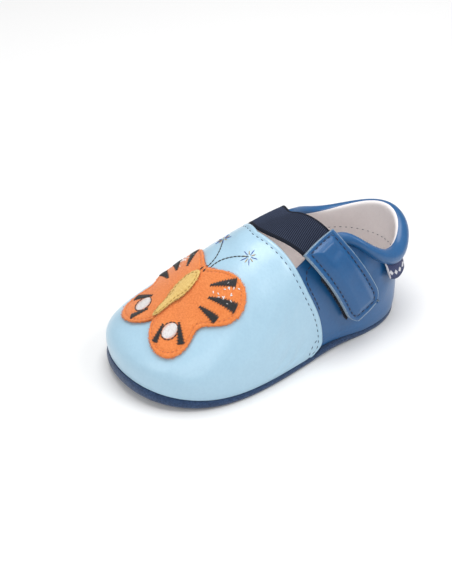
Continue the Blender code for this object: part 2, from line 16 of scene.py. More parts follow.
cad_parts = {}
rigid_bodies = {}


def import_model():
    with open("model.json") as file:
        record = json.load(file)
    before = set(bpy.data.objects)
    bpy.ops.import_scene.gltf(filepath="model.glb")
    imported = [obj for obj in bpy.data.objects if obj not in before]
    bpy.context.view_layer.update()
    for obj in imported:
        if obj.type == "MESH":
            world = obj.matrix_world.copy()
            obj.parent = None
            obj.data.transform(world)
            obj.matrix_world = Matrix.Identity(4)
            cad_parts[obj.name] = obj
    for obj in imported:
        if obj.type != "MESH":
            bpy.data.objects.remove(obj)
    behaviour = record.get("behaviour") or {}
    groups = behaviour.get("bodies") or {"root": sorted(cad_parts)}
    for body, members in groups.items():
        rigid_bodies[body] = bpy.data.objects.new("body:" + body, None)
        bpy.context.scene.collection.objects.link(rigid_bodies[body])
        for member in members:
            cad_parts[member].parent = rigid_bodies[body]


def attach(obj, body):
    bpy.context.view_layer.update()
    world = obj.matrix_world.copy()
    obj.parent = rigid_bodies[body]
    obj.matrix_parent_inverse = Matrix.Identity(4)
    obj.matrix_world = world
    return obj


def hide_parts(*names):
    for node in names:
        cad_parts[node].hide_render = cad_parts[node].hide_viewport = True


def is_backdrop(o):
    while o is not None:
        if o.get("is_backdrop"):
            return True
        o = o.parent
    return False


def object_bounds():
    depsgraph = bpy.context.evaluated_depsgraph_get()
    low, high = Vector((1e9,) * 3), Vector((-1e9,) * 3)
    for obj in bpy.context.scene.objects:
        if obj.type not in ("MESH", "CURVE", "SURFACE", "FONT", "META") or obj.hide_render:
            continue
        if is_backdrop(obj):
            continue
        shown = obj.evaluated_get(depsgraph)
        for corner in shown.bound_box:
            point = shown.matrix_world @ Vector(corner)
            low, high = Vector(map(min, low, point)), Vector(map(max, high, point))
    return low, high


for spare in list(bpy.data.objects):
    bpy.data.objects.remove(spare, do_unlink=True)
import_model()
solid_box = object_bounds()
MM = 0.001

# Studio
# A white floor under a wide overhead soft box, with three weaker ones round the shoe. The camera looks
# down on the outer side of the toe, at the picture's own angle and framing.
PICTURE_HEIGHT, FOCAL_PIXELS, SENSOR = 584, 1033.43, 36.0
OFF_CENTRE_X, OFF_CENTRE_Y = -35.29, -3.88
AZIMUTH, ELEVATION, DISTANCE = math.radians(55.873), math.radians(33.939), 0.41327
TARGET = Vector((0.0, 0.0, 0.022))
FLOOR_WHITE, FLOOR_ROUGHNESS, FLOOR_GLOSS, FLOOR_REACH = (0.87, 0.87, 0.87, 1.0), 0.9, 0.1, 4.0
SKY_STRENGTH = 0.38
scene = bpy.context.scene


def placed(name, data):
    """A new object, linked into the scene."""
    thing = bpy.data.objects.new(name, data)
    scene.collection.objects.link(thing)
    return thing


camera_data = bpy.data.cameras.new("camera")
camera_data.sensor_width = SENSOR
camera_data.lens = FOCAL_PIXELS * SENSOR / PICTURE_HEIGHT
camera_data.shift_x = OFF_CENTRE_X / PICTURE_HEIGHT
camera_data.shift_y = OFF_CENTRE_Y / PICTURE_HEIGHT
camera_data.clip_start = 0.01
camera = placed("camera", camera_data)
level = math.cos(ELEVATION)
toward = Vector((math.sin(AZIMUTH) * level, -math.cos(AZIMUTH) * level, math.sin(ELEVATION)))
camera.location = TARGET + toward * DISTANCE
camera.rotation_euler = (math.pi / 2 - ELEVATION, 0.0, AZIMUTH)
scene.camera = camera

bm = bmesh.new()
bmesh.ops.create_grid(bm, x_segments=1, y_segments=1, size=FLOOR_REACH)
floor_mesh = bpy.data.meshes.new("floor")
bm.to_mesh(floor_mesh)
bm.free()
floor_look = bpy.data.materials.new("white_floor")
floor_look.use_nodes = True
floor_sockets = floor_look.node_tree.nodes["Principled BSDF"].inputs
floor_sockets["Base Color"].default_value = FLOOR_WHITE
floor_sockets["Roughness"].default_value = FLOOR_ROUGHNESS
floor_sockets["Specular IOR Level"].default_value = FLOOR_GLOSS
floor_mesh.materials.append(floor_look)
floor = placed("floor", floor_mesh)
floor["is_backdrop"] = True

Lamp = namedtuple("Lamp", "name place size power")
LAMPS = (
    Lamp("overhead_box", (-0.15, 0.1, 1.05), 0.7, 7.4),
    Lamp("toe_box", (0.15, -1.0, 0.75), 0.6, 2.2),
    Lamp("outer_box", (0.55, 0.52, 0.75), 0.45, 3.2),
    Lamp("front_box", (0.8, -0.6, 0.7), 0.6, 2.4),
)
for lamp in LAMPS:
    light_data = bpy.data.lights.new(lamp.name, "AREA")
    light_data.size = lamp.size
    light_data.energy = lamp.power
    light = placed(lamp.name, light_data)
    light.location = lamp.place
    light.rotation_euler = (TARGET - light.location).to_track_quat("-Z", "Y").to_euler()
sky = bpy.data.worlds.new("studio_sky")
sky.use_nodes = True
sky_sockets = sky.node_tree.nodes["Background"].inputs
sky_sockets["Color"].default_value = (1.0, 1.0, 1.0, 1.0)
sky_sockets["Strength"].default_value = SKY_STRENGTH
scene.world = sky
scene.view_settings.view_transform = "Standard"

# Outsole
# One piece of navy suede, cut to the outline of the last and turned up at the toe. It is sewn to the
# upper wrong side out and turned, so its rim stands a little proud all round. Every other piece is laid
# on the same last: a station along it (0 heel, 1 toe) and a place round it (1 outer seam, -1 inner).
LENGTH = 128.0 * MM
SEAM_HEIGHT, WIDEST_HEIGHT, SEAM_TUCK, WIDEST_GIRTH = 2.8 * MM, 7.5 * MM, 0.02, 0.15
ROUNDNESS, MEDIAL_EASE, EASE_REACH, EASE_FADE = 2.18, 0.26, (0.2, 0.95), 0.22
TOE_SPRING, SOLE_TOE_SPRING, SPRING_START = 5.0 * MM, 2.4 * MM, 0.66
ARCH_RISE, ARCH_CENTRE, ARCH_REACH = 0.8 * MM, 0.36, 0.13
HEEL_FLARE, FLARE_HEIGHT, FLARE_REACH = 8.0 * MM, 45.0 * MM, 0.3
FLARE_LIMIT, FLARE_FADE = 1.2, 1.5
SPINE_MIDDLE, SPINE_TOE_PULL, SPINE_HEEL_PULL = 0.5, 0.4, 0.45


def table(columns, *rows):
    """Rows of numbers, with a name for each column."""
    return np.rec.fromrecords(list(rows), names=columns.split())


SECTIONS = table(
    "along lateral medial ridge",
    (0, 0, 0, 62), (0.045, 14.9, 14.9, 59.5), (0.14, 23.4, 22.9, 54), (0.28, 25.9, 24.5, 51.5),
    (0.43, 27.7, 25.3, 52.5), (0.58, 30.7, 27.8, 47.3), (0.72, 32, 30.7, 38), (0.84, 29.5, 31.2, 27.6),
    (0.94, 20.6, 24.7, 22), (1, -3, 3, 20.5),
)
OUTSOLE_RIM = table("inset level", (0.1, 2.5), (-0.5, 1.75), (-0.6, 0.9), (-0.1, 0.25), (1.6, 0.0))
HEEL_TUCK, TOE_PROUD = 0.7 * MM, 0.3 * MM
WELD, FINE = 0.02 * MM, 200
INSIDE = Vector((0.0, 0.0, 0.015))


def spline(knots, values, closed=False):
    """A smooth function through a table, straight at both ends or running on from its end to its start."""
    x, y = np.asarray(knots, float), np.asarray(values, float)
    step = np.diff(x)
    slope = np.diff(y) / step
    matrix, right = np.eye(len(x)), np.zeros(len(x))
    for i in range(1, len(x) - 1):
        matrix[i, i - 1 : i + 2] = step[i - 1], 2 * (step[i - 1] + step[i]), step[i]
        right[i] = 6 * (slope[i] - slope[i - 1])
    if closed:
        matrix[0, [-2, 0, 1]] = step[-1], 2 * (step[-1] + step[0]), step[0]
        right[0] = 6 * (slope[0] - slope[-1])
        matrix[-1, 0] = -1
    bend = np.linalg.solve(matrix, right)

    def curve(at):
        i = np.clip(np.searchsorted(x, at, side="right") - 1, 0, len(x) - 2)
        h, past, left = step[i], at - x[i], x[i + 1] - at
        cubic = (bend[i] * left**3 + bend[i + 1] * past**3) / (6 * h)
        return cubic + (y[i] / h - bend[i] * h / 6) * left + (y[i + 1] / h - bend[i + 1] * h / 6) * past

    return curve


def smooth_step(value):
    value = np.clip(value, 0.0, 1.0)
    return value * value * (3 - 2 * value)


def unit(vectors):
    return vectors / np.maximum(np.linalg.norm(vectors, axis=-1, keepdims=True), 1e-12)


def distances(points):
    """How far each point of a line is from its start, along the line."""
    return np.concatenate([[0], np.cumsum(np.linalg.norm(np.diff(points, axis=0), axis=1))])


def between(at, knots, points):
    """Points on a line whose own points lie at the knots."""
    return np.stack([np.interp(at, knots, points[:, k]) for k in range(points.shape[1])], axis=-1)


def half_outlines():
    """Each side's widest outline from heel to toe, as (x, along) at even steps of its own length."""
    lateral = np.stack([SECTIONS.lateral * MM, SECTIONS.along * LENGTH], axis=-1)
    medial = np.stack([-SECTIONS.medial * MM, SECTIONS.along * LENGTH], axis=-1)
    knots = np.concatenate([lateral, medial[-2:0:-1], lateral[:1]])
    far = distances(knots)
    at = np.interp(np.arange((len(knots) - 1) * FINE + 1) / FINE, np.arange(len(knots)), far)
    dense = np.stack([spline(far, knots[:, k], closed=True)(at) for k in (0, 1)], axis=-1)
    tip = (len(SECTIONS) - 1) * FINE
    even = []
    for half in (dense[: tip + 1], dense[: tip - 1 : -1]):
        far = distances(half)
        even.append(between(np.linspace(0, 1, 1201), far / far[-1], half))
    return even


LATERAL, MEDIAL = half_outlines()
STEPS = np.linspace(0, 1, len(LATERAL))
MEAN_ALONG = np.maximum.accumulate((LATERAL[:, 1] + MEDIAL[:, 1]) / 2 / LENGTH)
ridge_height = spline(SECTIONS.along, SECTIONS.ridge * MM)


def lift(along, spring=TOE_SPRING):
    """How far the sole line is off the floor: the toe spring and a slight arch."""
    past = np.clip((along - SPRING_START) / (1 - SPRING_START), 0, None)
    waist = np.clip(1 - ((along - ARCH_CENTRE) / ARCH_REACH) ** 2, 0, 1)
    return spring * past**2 + ARCH_RISE * waist**2


def plan(along, side):
    """The widest outline, and the spine point that its section leans to, as (x, along in metres)."""
    step = np.interp(along, MEAN_ALONG, STEPS)
    base = np.where((side >= 0)[..., None], between(step, STEPS, LATERAL), between(step, STEPS, MEDIAL))
    past = along - SPINE_MIDDLE
    pull = np.where(past > 0, SPINE_TOE_PULL, SPINE_HEEL_PULL)
    spine_along = SPINE_MIDDLE + past * (1 - pull * np.abs(past) / SPINE_MIDDLE)
    return base, np.stack([np.zeros_like(spine_along), spine_along * LENGTH], axis=-1)


def bare_last(along, around):
    """Points of the last, toe to -Y."""
    base, spine = plan(along, around)
    girth = 1 - np.abs(around)
    low = np.clip(girth / WIDEST_GIRTH, 0, 1)
    turn = np.clip((girth - WIDEST_GIRTH) / (1 - WIDEST_GIRTH), 0, 1) * np.pi / 2
    behind, ahead = EASE_REACH
    instep = smooth_step((along - behind) / EASE_FADE) * smooth_step((ahead - along) / EASE_FADE)
    power = 2 / (ROUNDNESS - np.where(around < 0, MEDIAL_EASE * instep, 0.0))
    reach = np.where(low < 1, 1 - SEAM_TUCK * (1 - low) ** 2, np.cos(turn) ** power)
    spot = spine + (base - spine) * reach[..., None]
    over_side = (ridge_height(spot[..., 1] / LENGTH) - WIDEST_HEIGHT) * np.sin(turn) ** power
    height = SEAM_HEIGHT + (WIDEST_HEIGHT - SEAM_HEIGHT) * low + over_side
    climb = np.clip((height - WIDEST_HEIGHT) / (FLARE_HEIGHT - WIDEST_HEIGHT), 0, FLARE_LIMIT) ** 2
    near_heel = np.clip(1 - base[..., 1] / LENGTH / FLARE_REACH, 0, 1) ** FLARE_FADE
    spot = spot + unit(base - spine) * (HEEL_FLARE * climb * near_heel)[..., None]
    height = height + lift(spot[..., 1] / LENGTH)
    return np.stack([spot[..., 0], LENGTH / 2 - spot[..., 1], height], axis=-1)


def last(along, around, offset=0.0):
    """Points of the last, moved out along its normal by offset."""
    along, around, offset = np.broadcast_arrays(*(np.asarray(v, float) for v in (along, around, offset)))
    step, tip_gap, end_gap = 2e-3, 1e-4, 1e-5
    inner = np.where(np.abs(around) < step, step, around)
    tip = np.clip(along, tip_gap, 1 - tip_gap)
    toward_toe, toward_heel = np.minimum(tip + step, 1 - end_gap), np.maximum(tip - step, end_gap)
    ahead = bare_last(toward_toe, inner) - bare_last(toward_heel, inner)
    across = bare_last(tip, inner + step) - bare_last(tip, inner - step)
    return bare_last(along, around) + unit(np.cross(ahead, across)) * offset[..., None]


def round_ended(count):
    """Stations from 0 to 1 that crowd towards both ends."""
    return (1 - np.cos(np.linspace(0, np.pi, count))) / 2


def sheet(rows, with_uv=False):
    """A bmesh of one sheet, from a table of points with a row for each line across it."""
    rows = np.asarray(rows, float)
    made = bmesh.new()
    if with_uv:
        made.loops.layers.uv.new("UVMap")
    down, across = (count - 1 for count in rows.shape[:2])
    bmesh.ops.create_grid(made, x_segments=across, y_segments=down, size=1.0, calc_uvs=with_uv)
    for vert in made.verts:
        column, row = round((vert.co.x + 1) / 2 * across), round((vert.co.y + 1) / 2 * down)
        vert.co = Vector(rows[row, column])
    return made


def face_out(made, inside=INSIDE):
    """Closes doubled points, and turns the faces away from a point inside."""
    bmesh.ops.remove_doubles(made, verts=made.verts, dist=WELD)
    bmesh.ops.dissolve_degenerate(made, edges=made.edges, dist=WELD / 2)
    bmesh.ops.recalc_face_normals(made, faces=made.faces)
    if sum(f.normal.dot(f.calc_center_median() - inside) * f.calc_area() for f in made.faces) < 0:
        bmesh.ops.reverse_faces(made, faces=made.faces)
    return made


def piece(name, made, looks):
    """A smooth object from a bmesh, that rides on the shoe."""
    mesh = bpy.data.meshes.new(name)
    made.to_mesh(mesh)
    made.free()
    mesh.shade_smooth()
    for look in looks:
        mesh.materials.append(look)
    thing = placed(name, mesh)
    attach(thing, "root")
    return thing


class Wire:
    """A shader socket, so that maths on it reads as a Python expression."""

    def __init__(self, tree, socket=None):
        self.tree = tree
        self.socket = socket

    def node(self, kind, settings, inputs, output=0):
        """A new node: its settings first, then the values or links of its sockets."""
        made = self.tree.nodes.new(kind)
        for name, value in settings.items():
            setattr(made, name, value)
        for name, value in inputs.items():
            if isinstance(value, Wire):
                self.tree.links.new(value.socket, made.inputs[name])
            else:
                made.inputs[name].default_value = value
        return Wire(self.tree, made.outputs[output])

    def maths(self, operation, other=0.0):
        return self.node("ShaderNodeMath", {"operation": operation}, {0: self, 1: other})

    def __add__(self, other):
        return self.maths("ADD", other)

    def __sub__(self, other):
        return self.maths("SUBTRACT", other)

    def __rsub__(self, other):
        return self.node("ShaderNodeMath", {"operation": "SUBTRACT"}, {0: other, 1: self})

    def __mul__(self, other):
        return self.maths("MULTIPLY", other)

    def __pow__(self, other):
        return self.maths("POWER", other)

    __radd__ = __add__
    __rmul__ = __mul__

    def mixed(self, dark, light):
        """A colour between two, by this value."""
        ends = [value if isinstance(value, Wire) else (*value, 1.0) for value in (dark, light)]
        return self.node("ShaderNodeMix", {"data_type": "RGBA"}, {0: self, 6: ends[0], 7: ends[1]}, 2)


def new_look(name, **constants):
    """A material with its constant sockets set, and a wire that carries the object's own coordinates."""
    look = bpy.data.materials.new(name)
    look.use_nodes = True
    for socket, value in constants.items():
        look.node_tree.nodes["Principled BSDF"].inputs[socket.replace("_", " ")].default_value = value
    return look, Wire(look.node_tree).node("ShaderNodeTexCoord", {}, {}, "Object")


def noise(place, scale, detail=2.0, rough=0.5):
    inputs = {"Vector": place, "Scale": scale, "Detail": detail, "Roughness": rough}
    return place.node("ShaderNodeTexNoise", {}, inputs)


def ramped(value, low, high):
    """A value stretched so that low becomes 0 and high becomes 1."""
    inputs = {"Value": value, "From Min": low, "From Max": high}
    return value.node("ShaderNodeMapRange", {"clamp": True}, inputs)


def dress(look, colour, roughness, height, relief):
    """Feeds the shader: colour, roughness, and a height whose full range stands relief tall."""
    bump = height.node("ShaderNodeBump", {}, {"Height": height, "Distance": relief, "Strength": 1.0})
    tree = look.node_tree
    for socket, wire in (("Base Color", colour), ("Roughness", roughness), ("Normal", bump)):
        tree.links.new(wire.socket, tree.nodes["Principled BSDF"].inputs[socket])


def suede(name, dark, light, nap):
    """Napped leather: short fibres that lie light or dark in patches, with a soft bloom at grazing light."""
    look, place = new_look(name, Sheen_Weight=0.35, Sheen_Roughness=0.5, Specular_IOR_Level=0.15)
    patches = noise(place, 160.0, 3.0)
    fibres = noise(place, 2800.0, 3.0, 0.75)
    tufts = noise(place, 1500.0, 2.0, 0.6)
    tone = ramped(patches * 0.12 + tufts * 0.38 + fibres * 0.5, 0.34, 0.66)
    dress(look, tone.mixed(dark, light), 0.86 + fibres * 0.12, fibres * 0.6 + tufts * 0.6, 0.16 * MM * nap)
    return look


def plate(rim, stations, extra_inset, lower_spring, inward=7):
    """A sole layer from its rim rows, top to bottom, closed over top and underside.

    lower_spring is the toe spring of the underside, which makes a layer thicker at the toe.
    """
    top, bottom = rim[0].level * MM, rim[-1].level * MM
    fine = np.linspace(0, len(rim) - 1, 4 * len(rim) - 3)
    insets = spline(np.arange(len(rim)), rim.inset * MM)(fine)
    levels = spline(np.arange(len(rim)), rim.level * MM)(fine)
    levels = np.clip(levels, bottom, top)
    levels = np.concatenate([np.full(inward - 1, levels[0]), levels, np.full(inward, levels[-1])])
    fade = np.linspace(1, 0, inward + 1)[1:]
    rings = []
    for along in stations:
        ring = []
        for side in (1.0, -1.0):
            base, spine = plan(np.array(along), np.array(side))
            share = 1 - SEAM_TUCK - (insets + extra_inset(along)) / np.linalg.norm(base - spine)
            share = np.concatenate([share[0] * fade[-2::-1], share, share[-1] * fade])
            half = np.concatenate([spine + (base - spine) * share[:, None], levels[:, None]], axis=1)
            ring.extend(half if side > 0 else half[-2::-1])
        rings.append([*ring, (*spine, levels[0]), ring[0]])
    x, y, z = np.moveaxis(np.array(rings), -1, 0)
    spring = lower_spring + (TOE_SPRING - lower_spring) * (z - bottom) / (top - bottom)
    return np.stack([x, LENGTH / 2 - y, z + lift(y / LENGTH, spring)], axis=-1)


def rim_inset(along):
    return HEEL_TUCK - (HEEL_TUCK + TOE_PROUD) * smooth_step(along)


navy_suede = suede("navy_suede", (0.003, 0.013, 0.045), (0.052, 0.105, 0.225), 1.8)
outsole_rows = plate(OUTSOLE_RIM, round_ended(161), rim_inset, SOLE_TOE_SPRING)
outsole = piece("outsole_suede", face_out(sheet(outsole_rows)), [navy_suede])
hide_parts("outsole")

# Insole
# A thin sock of cream leather over a soft filler, cut to lie inside the upper and glued to the outsole.
# Its edge keeps clear of the quarter, which sinks towards the toe to pass under the vamp.
VAMP_WALL, UPPER_WALL, GAP = 1.2 * MM, 1.4 * MM, 0.3 * MM
INSOLE_FOOT, INSOLE_THICK, INSOLE_MARGIN = SEAM_HEIGHT / MM, 2.0, 0.6 * MM
SINK_START, SINK_REACH = 0.22, 0.2
INSOLE_RIM = table(
    "inset level",
    (1, INSOLE_FOOT + INSOLE_THICK),
    (0.25, INSOLE_FOOT + 0.85 * INSOLE_THICK),
    (0, INSOLE_FOOT + 0.5 * INSOLE_THICK),
    (0, INSOLE_FOOT),
)


def quarter_offset(along):
    """The quarter's skin sinks under the vamp, by the vamp's own thickness."""
    return -(VAMP_WALL + GAP) * smooth_step((along - SINK_START) / SINK_REACH)


def insole_inset(along):
    return UPPER_WALL + INSOLE_MARGIN - quarter_offset(along)


def leather(name, colour, deep, roughness, grain, coat, loose):
    """Smooth grain leather: shallow pores, a loose or firm hide, mottled dye and a soft waxed sheen."""
    look, place = new_look(name, Coat_Weight=coat, Coat_Roughness=0.3, Specular_IOR_Level=0.42)
    mottle = noise(place, 55.0, 3.0, 0.55)
    fine = noise(place, 1500.0, 2.0, 0.6)
    cells = {"Vector": place, "Scale": 950.0, "Smoothness": 0.7}
    pores = place.node("ShaderNodeTexVoronoi", {"feature": "SMOOTH_F1"}, cells)
    tone = ramped(mottle * 0.8 + pores * 0.35, 0.25, 0.75)
    waves = noise(place, 150.0, 3.0, 0.5)
    height = (pores * 0.7 + fine * 0.5) * grain + waves * loose
    dress(look, tone.mixed(deep, colour), roughness - 0.05 + mottle * 0.14, height, 0.035 * MM)
    return look


cream_leather = leather("cream_lining", (0.82, 0.75, 0.715), (0.74, 0.665, 0.63), 0.62, 1.3, 0.0, 3.0)
insole_rows = plate(INSOLE_RIM, round_ended(121), insole_inset, TOE_SPRING)
insole = piece("insole_sock", face_out(sheet(insole_rows)), [cream_leather])
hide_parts("insole")

# Quarter
# One wrap of smooth blue leather round heel and sides. Its front runs in under the vamp, and its front top
# corners are cut round and stitched. The lining backs it, and together they make the upper's wall.
VAMP_EDGE = table(
    "girth along",
    (0, 0.447), (0.05, 0.426), (0.12, 0.413), (0.2, 0.414), (0.32, 0.431),
    (0.45, 0.456), (0.58, 0.473), (0.72, 0.49), (0.86, 0.505), (1, 0.517),
)
TOPLINE_LATERAL = table(
    "along height",
    (0, 38.6), (0.035, 35.4), (0.07, 33), (0.105, 32.7), (0.135, 34), (0.162, 36.3), (0.19, 39.3),
    (0.215, 42.2), (0.245, 44.4), (0.28, 45.2), (0.33, 45), (0.39, 44.2), (0.446, 42), (0.487, 40.3),
)
TOPLINE_MEDIAL = table(
    "along height",
    (0, 38.6), (0.032, 36), (0.063, 34.3), (0.095, 33.4), (0.13, 33.5), (0.193, 36.1),
    (0.25, 39.7), (0.306, 43.2), (0.35, 44.2), (0.39, 44), (0.446, 42), (0.487, 40.3),
)
CREASE = "along around length width turn depth"
QUARTER_CREASES = table(
    CREASE,
    (0.245, 0.52, 7, 1.6, 55, -0.35), (0.19, 0.6, 9, 2.4, 35, -0.22), (0.12, 0.72, 10, 3, 20, 0.2),
    (0.3, 0.78, 12, 4, -15, -0.22), (0.37, 0.88, 8, 2.5, 10, -0.18), (0.23, -0.56, 8, 2, -50, -0.3),
    (0.33, -0.74, 13, 4, 20, -0.25), (0.14, -0.7, 10, 3, -20, 0.18), (0.05, 0.8, 9, 3.5, 75, -0.16),
    (0.06, -0.84, 9, 3.5, -75, -0.16),
)
HALF_GIRTH = 62.0
SHOULDER, SHOULDER_PLACE, SHOULDER_SPREAD = 0.35, 1.7, 0.6
QUARTER_TOP_GIRTH, LAP = 0.58, 0.045
QUARTER_SKIN, LINING_SKIN = 0.7 * MM, 0.6 * MM
vamp_edge = spline(VAMP_EDGE.girth, VAMP_EDGE.along)
top_height = {
    1.0: spline(TOPLINE_LATERAL.along, TOPLINE_LATERAL.height * MM),
    -1.0: spline(TOPLINE_MEDIAL.along, TOPLINE_MEDIAL.height * MM),
}


def girth_at_height(along, side, height):
    """The girth share at which the wall of one side reaches a height."""
    low, high = np.zeros(np.shape(along)), np.ones(np.shape(along))
    for _ in range(30):
        middle = (low + high) / 2
        below = bare_last(along, side * (1 - middle))[..., 2] < height
        low, high = np.where(below, middle, low), np.where(below, high, middle)
    return (low + high) / 2


def hump(distance, reach=1.0):
    return np.exp(-((distance / reach) ** 2))


def creased(along, around, creases):
    """Soft troughs (negative) and ridges (positive), in the shoe's own sizes.

    A row gives its middle on the last, half length and half width in millimetres, the turn of its run
    from the shoe's length in degrees, and its depth in millimetres.
    """
    height = np.zeros(np.broadcast(along, around).shape)
    for row in creases:
        ahead, across = (along - row.along) * LENGTH / MM, (around - row.around) * HALF_GIRTH
        turn = math.radians(row.turn)
        run = (ahead * math.cos(turn) + across * math.sin(turn)) / row.length
        beside = (across * math.cos(turn) - ahead * math.sin(turn)) / row.width
        shoulders = np.exp(-((np.abs(beside) - SHOULDER_PLACE) ** 2) / SHOULDER_SPREAD)
        height = height + row.depth * MM * hump(run) * (hump(beside) - SHOULDER * shoulders)
    return height


def wall_rows(skin, columns, girth_rows):
    """Quarter or lining from the outer vamp edge round the heel to the inner one, seam to top line.

    skin gives its distance off the last by (along, around).
    """
    share = np.sin(np.linspace(0, np.pi / 2, columns))
    lap = np.linspace(LAP, 0, 6)[:-1]
    rows = np.linspace(0, 1, girth_rows)[:, None]
    front = vamp_edge(rows * QUARTER_TOP_GIRTH)
    along = np.concatenate([front + lap, front * (1 - share)], axis=1)
    top_along = np.minimum(along[-1], front[-1])
    halves = []
    for side in (1.0, -1.0):
        top = girth_at_height(top_along, side, top_height[side](top_along))
        top = np.where(along[-1] >= front[-1], QUARTER_TOP_GIRTH, top)
        around = side * (1 - rows * top)
        points = last(along, around, skin(along, around))
        halves.append(points if side > 0 else points[:, -2::-1])
    return np.concatenate(halves, axis=1)


def add_wall(thing, thickness, rim_look=0, round_edge=0.2 * MM):
    """Gives a sheet its thickness inwards, and rounds its edge unless that is a raw cut."""
    solid = thing.modifiers.new("wall", "SOLIDIFY")
    solid.thickness = thickness
    solid.offset = -1.0
    solid.material_offset_rim = rim_look
    if round_edge:
        edge = thing.modifiers.new("edge", "BEVEL")
        edge.width = round_edge
        edge.segments = 2
        edge.limit_method = "ANGLE"
        edge.angle_limit = math.radians(50)


def quarter_skin(along, around):
    return quarter_offset(along) + creased(along, around, QUARTER_CREASES)


blue_leather = leather("blue_leather", (0.01, 0.105, 0.285), (0.006, 0.085, 0.242), 0.38, 1.0, 0.4, 3.0)
bm = face_out(sheet(wall_rows(quarter_skin, 150, 70)))
quarter = piece("quarter_leather_wrap", bm, [blue_leather])
add_wall(quarter, QUARTER_SKIN)
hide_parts("upper")

# Lining
# Soft beige-grey leather glued behind the quarter and, as a second piece, behind the vamp. At the collar it
# is turned out over the padding and meets the blue leather at the crest.
TOE_LINING_LIFT, SEAM_CROWDING, TOE_CROWDING = 0.05 * MM, 1.15, 1.3


def lining_skin(along, around):
    return quarter_offset(along) - UPPER_WALL


def toe_lining_skin(along, around):
    return TOE_LINING_LIFT - (VAMP_WALL + GAP + UPPER_WALL)


def toe_rows(skin, across, down):
    """The front of the upper, from the vamp's edge to the toe, outer seam over the ridge to inner seam."""
    girth = np.linspace(0, 1, across) ** SEAM_CROWDING
    around = np.concatenate([1 - girth, (girth - 1)[-2::-1]])[:, None]
    edge = vamp_edge(1 - np.abs(around))
    along = edge + (1 - edge) * np.sin(np.linspace(0, 1, down) ** TOE_CROWDING * np.pi / 2)
    return last(along, around, skin(along, around))


lining_leather = leather("lining_leather", (0.92, 0.87, 0.868), (0.88, 0.822, 0.82), 0.58, 1.2, 0.0, 5.0)
for name, rows in (
    ("lining_back", wall_rows(lining_skin, 110, 50)),
    ("lining_front", toe_rows(toe_lining_skin, 40, 50)),
):
    bm = face_out(sheet(rows))
    bmesh.ops.reverse_faces(bm, faces=bm.faces)
    add_wall(piece(name, bm, [lining_leather]), LINING_SKIN)

# Vamp
# One piece of pale blue leather, drawn over the toe and instep. Its back edge is folded and lies over the
# front of the quarter, held by a row of navy stitches.
STITCH_INSET, STITCH_SINK, STITCH_REACH = 2.4, 0.24, 0.6
EDGE_ROUND, EDGE_SINK, EDGE_PUFF, PUFF_INSET, PUFF_REACH = 0.8, 0.55, 0.2, 1.2, 0.7
CROWN_SINK, CROWN_REACH, CROWN_RUN = 0.9, 0.34, 9.0
VAMP_CREASES = table(
    CREASE,
    (0.56, 0.3, 12, 4.5, 70, -0.22), (0.61, -0.1, 10, 3.5, 60, -0.2), (0.64, 0.52, 14, 5, 30, -0.28),
    (0.56, 0.7, 10, 3.2, 25, -0.28), (0.5, 0.78, 6, 2, 50, -0.22), (0.525, 0.86, 7, 1.5, 35, -0.24),
    (0.555, 0.8, 8, 1.4, 40, -0.22), (0.59, 0.84, 8, 1.6, 30, -0.22), (0.545, 0.6, 7, 1.6, 48, -0.2),
    (0.6, 0.62, 9, 2, 38, -0.2), (0.545, 0.12, 6, 1.6, 80, -0.18), (0.7, 0.74, 14, 5, 12, 0.2),
    (0.86, 0.62, 10, 4, 40, -0.16), (0.93, 0.2, 9, 4, 85, -0.14), (0.66, -0.55, 14, 5, -30, -0.26),
    (0.56, -0.7, 10, 3.2, -25, -0.26), (0.85, -0.62, 10, 4, -40, -0.16),
)


def vamp_skin(along, around):
    behind = (along - vamp_edge(1 - np.abs(around))) * LENGTH / MM
    fold = np.clip(1 - behind / EDGE_ROUND, 0, 1)
    rolled = -EDGE_SINK * (1 - np.sqrt(np.clip(1 - fold**2, 0, 1)))
    sunk = -STITCH_SINK * hump(behind - STITCH_INSET, STITCH_REACH)
    puffed = EDGE_PUFF * hump(behind - PUFF_INSET, PUFF_REACH)
    crown = smooth_step(1 - np.abs(around) / CROWN_REACH) * smooth_step(1 - behind / CROWN_RUN)
    return (rolled + sunk + puffed - CROWN_SINK * crown) * MM + creased(along, around, VAMP_CREASES)


pale_leather = leather("pale_blue_leather", (0.408, 0.612, 0.75), (0.362, 0.562, 0.705), 0.3, 1.0, 0.42, 6.0)
bm = face_out(sheet(toe_rows(vamp_skin, 90, 130)))
vamp_tree = BVHTree.FromBMesh(bm)
vamp = piece("vamp_leather", bm, [pale_leather])
add_wall(vamp, VAMP_WALL)
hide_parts("vamp")

# Collar
# A roll of the blue leather filled with soft foam, sewn round the heel under the top line and turned over it.
# It is thick at the back and thins out to both sides, where the strap takes over.
COLLAR = table(
    "along height bulge",
    (0, 6.4, 3.5), (0.1, 5.4, 3.5), (0.17, 5.2, 3.3), (0.22, 4.6, 2.6), (0.26, 3.2, 1.2), (0.32, 2.2, 0.3),
)
COLLAR_FRONT_LATERAL, COLLAR_FRONT_MEDIAL, RIM_STEP = 0.285, 0.318, 0.04
ROLL_SECTION = table(
    "climb bulge out above",
    (0, 0, -0.25, 0), (0, 0.5, 0.2, 0), (0.2, 0.88, 0.3, 0), (0.45, 1.06, 0.3, 0),
    (0.72, 1.06, 0.3, 0), (0.95, 0.8, 0.3, 0.3), (1, 0.4, 0.1, 1.3), (1, 0, -0.1, 1.5),
    (1, 0, -0.95, 1.35), (1, 0, -1.7, 0.7), (0.75, 0, -1.9, 0), (0.2, 0, -1.7, 0),
    (-0.4, 0, -1.48, 0), (-1, 0, -1.22, 0), (-0.2, 0, -0.8, 0),
)
CREST_ROW, CREST_SHIFT, LINING_ROW, CUTS_PER_ROW = 7.0, 2.6, 14.0, 4
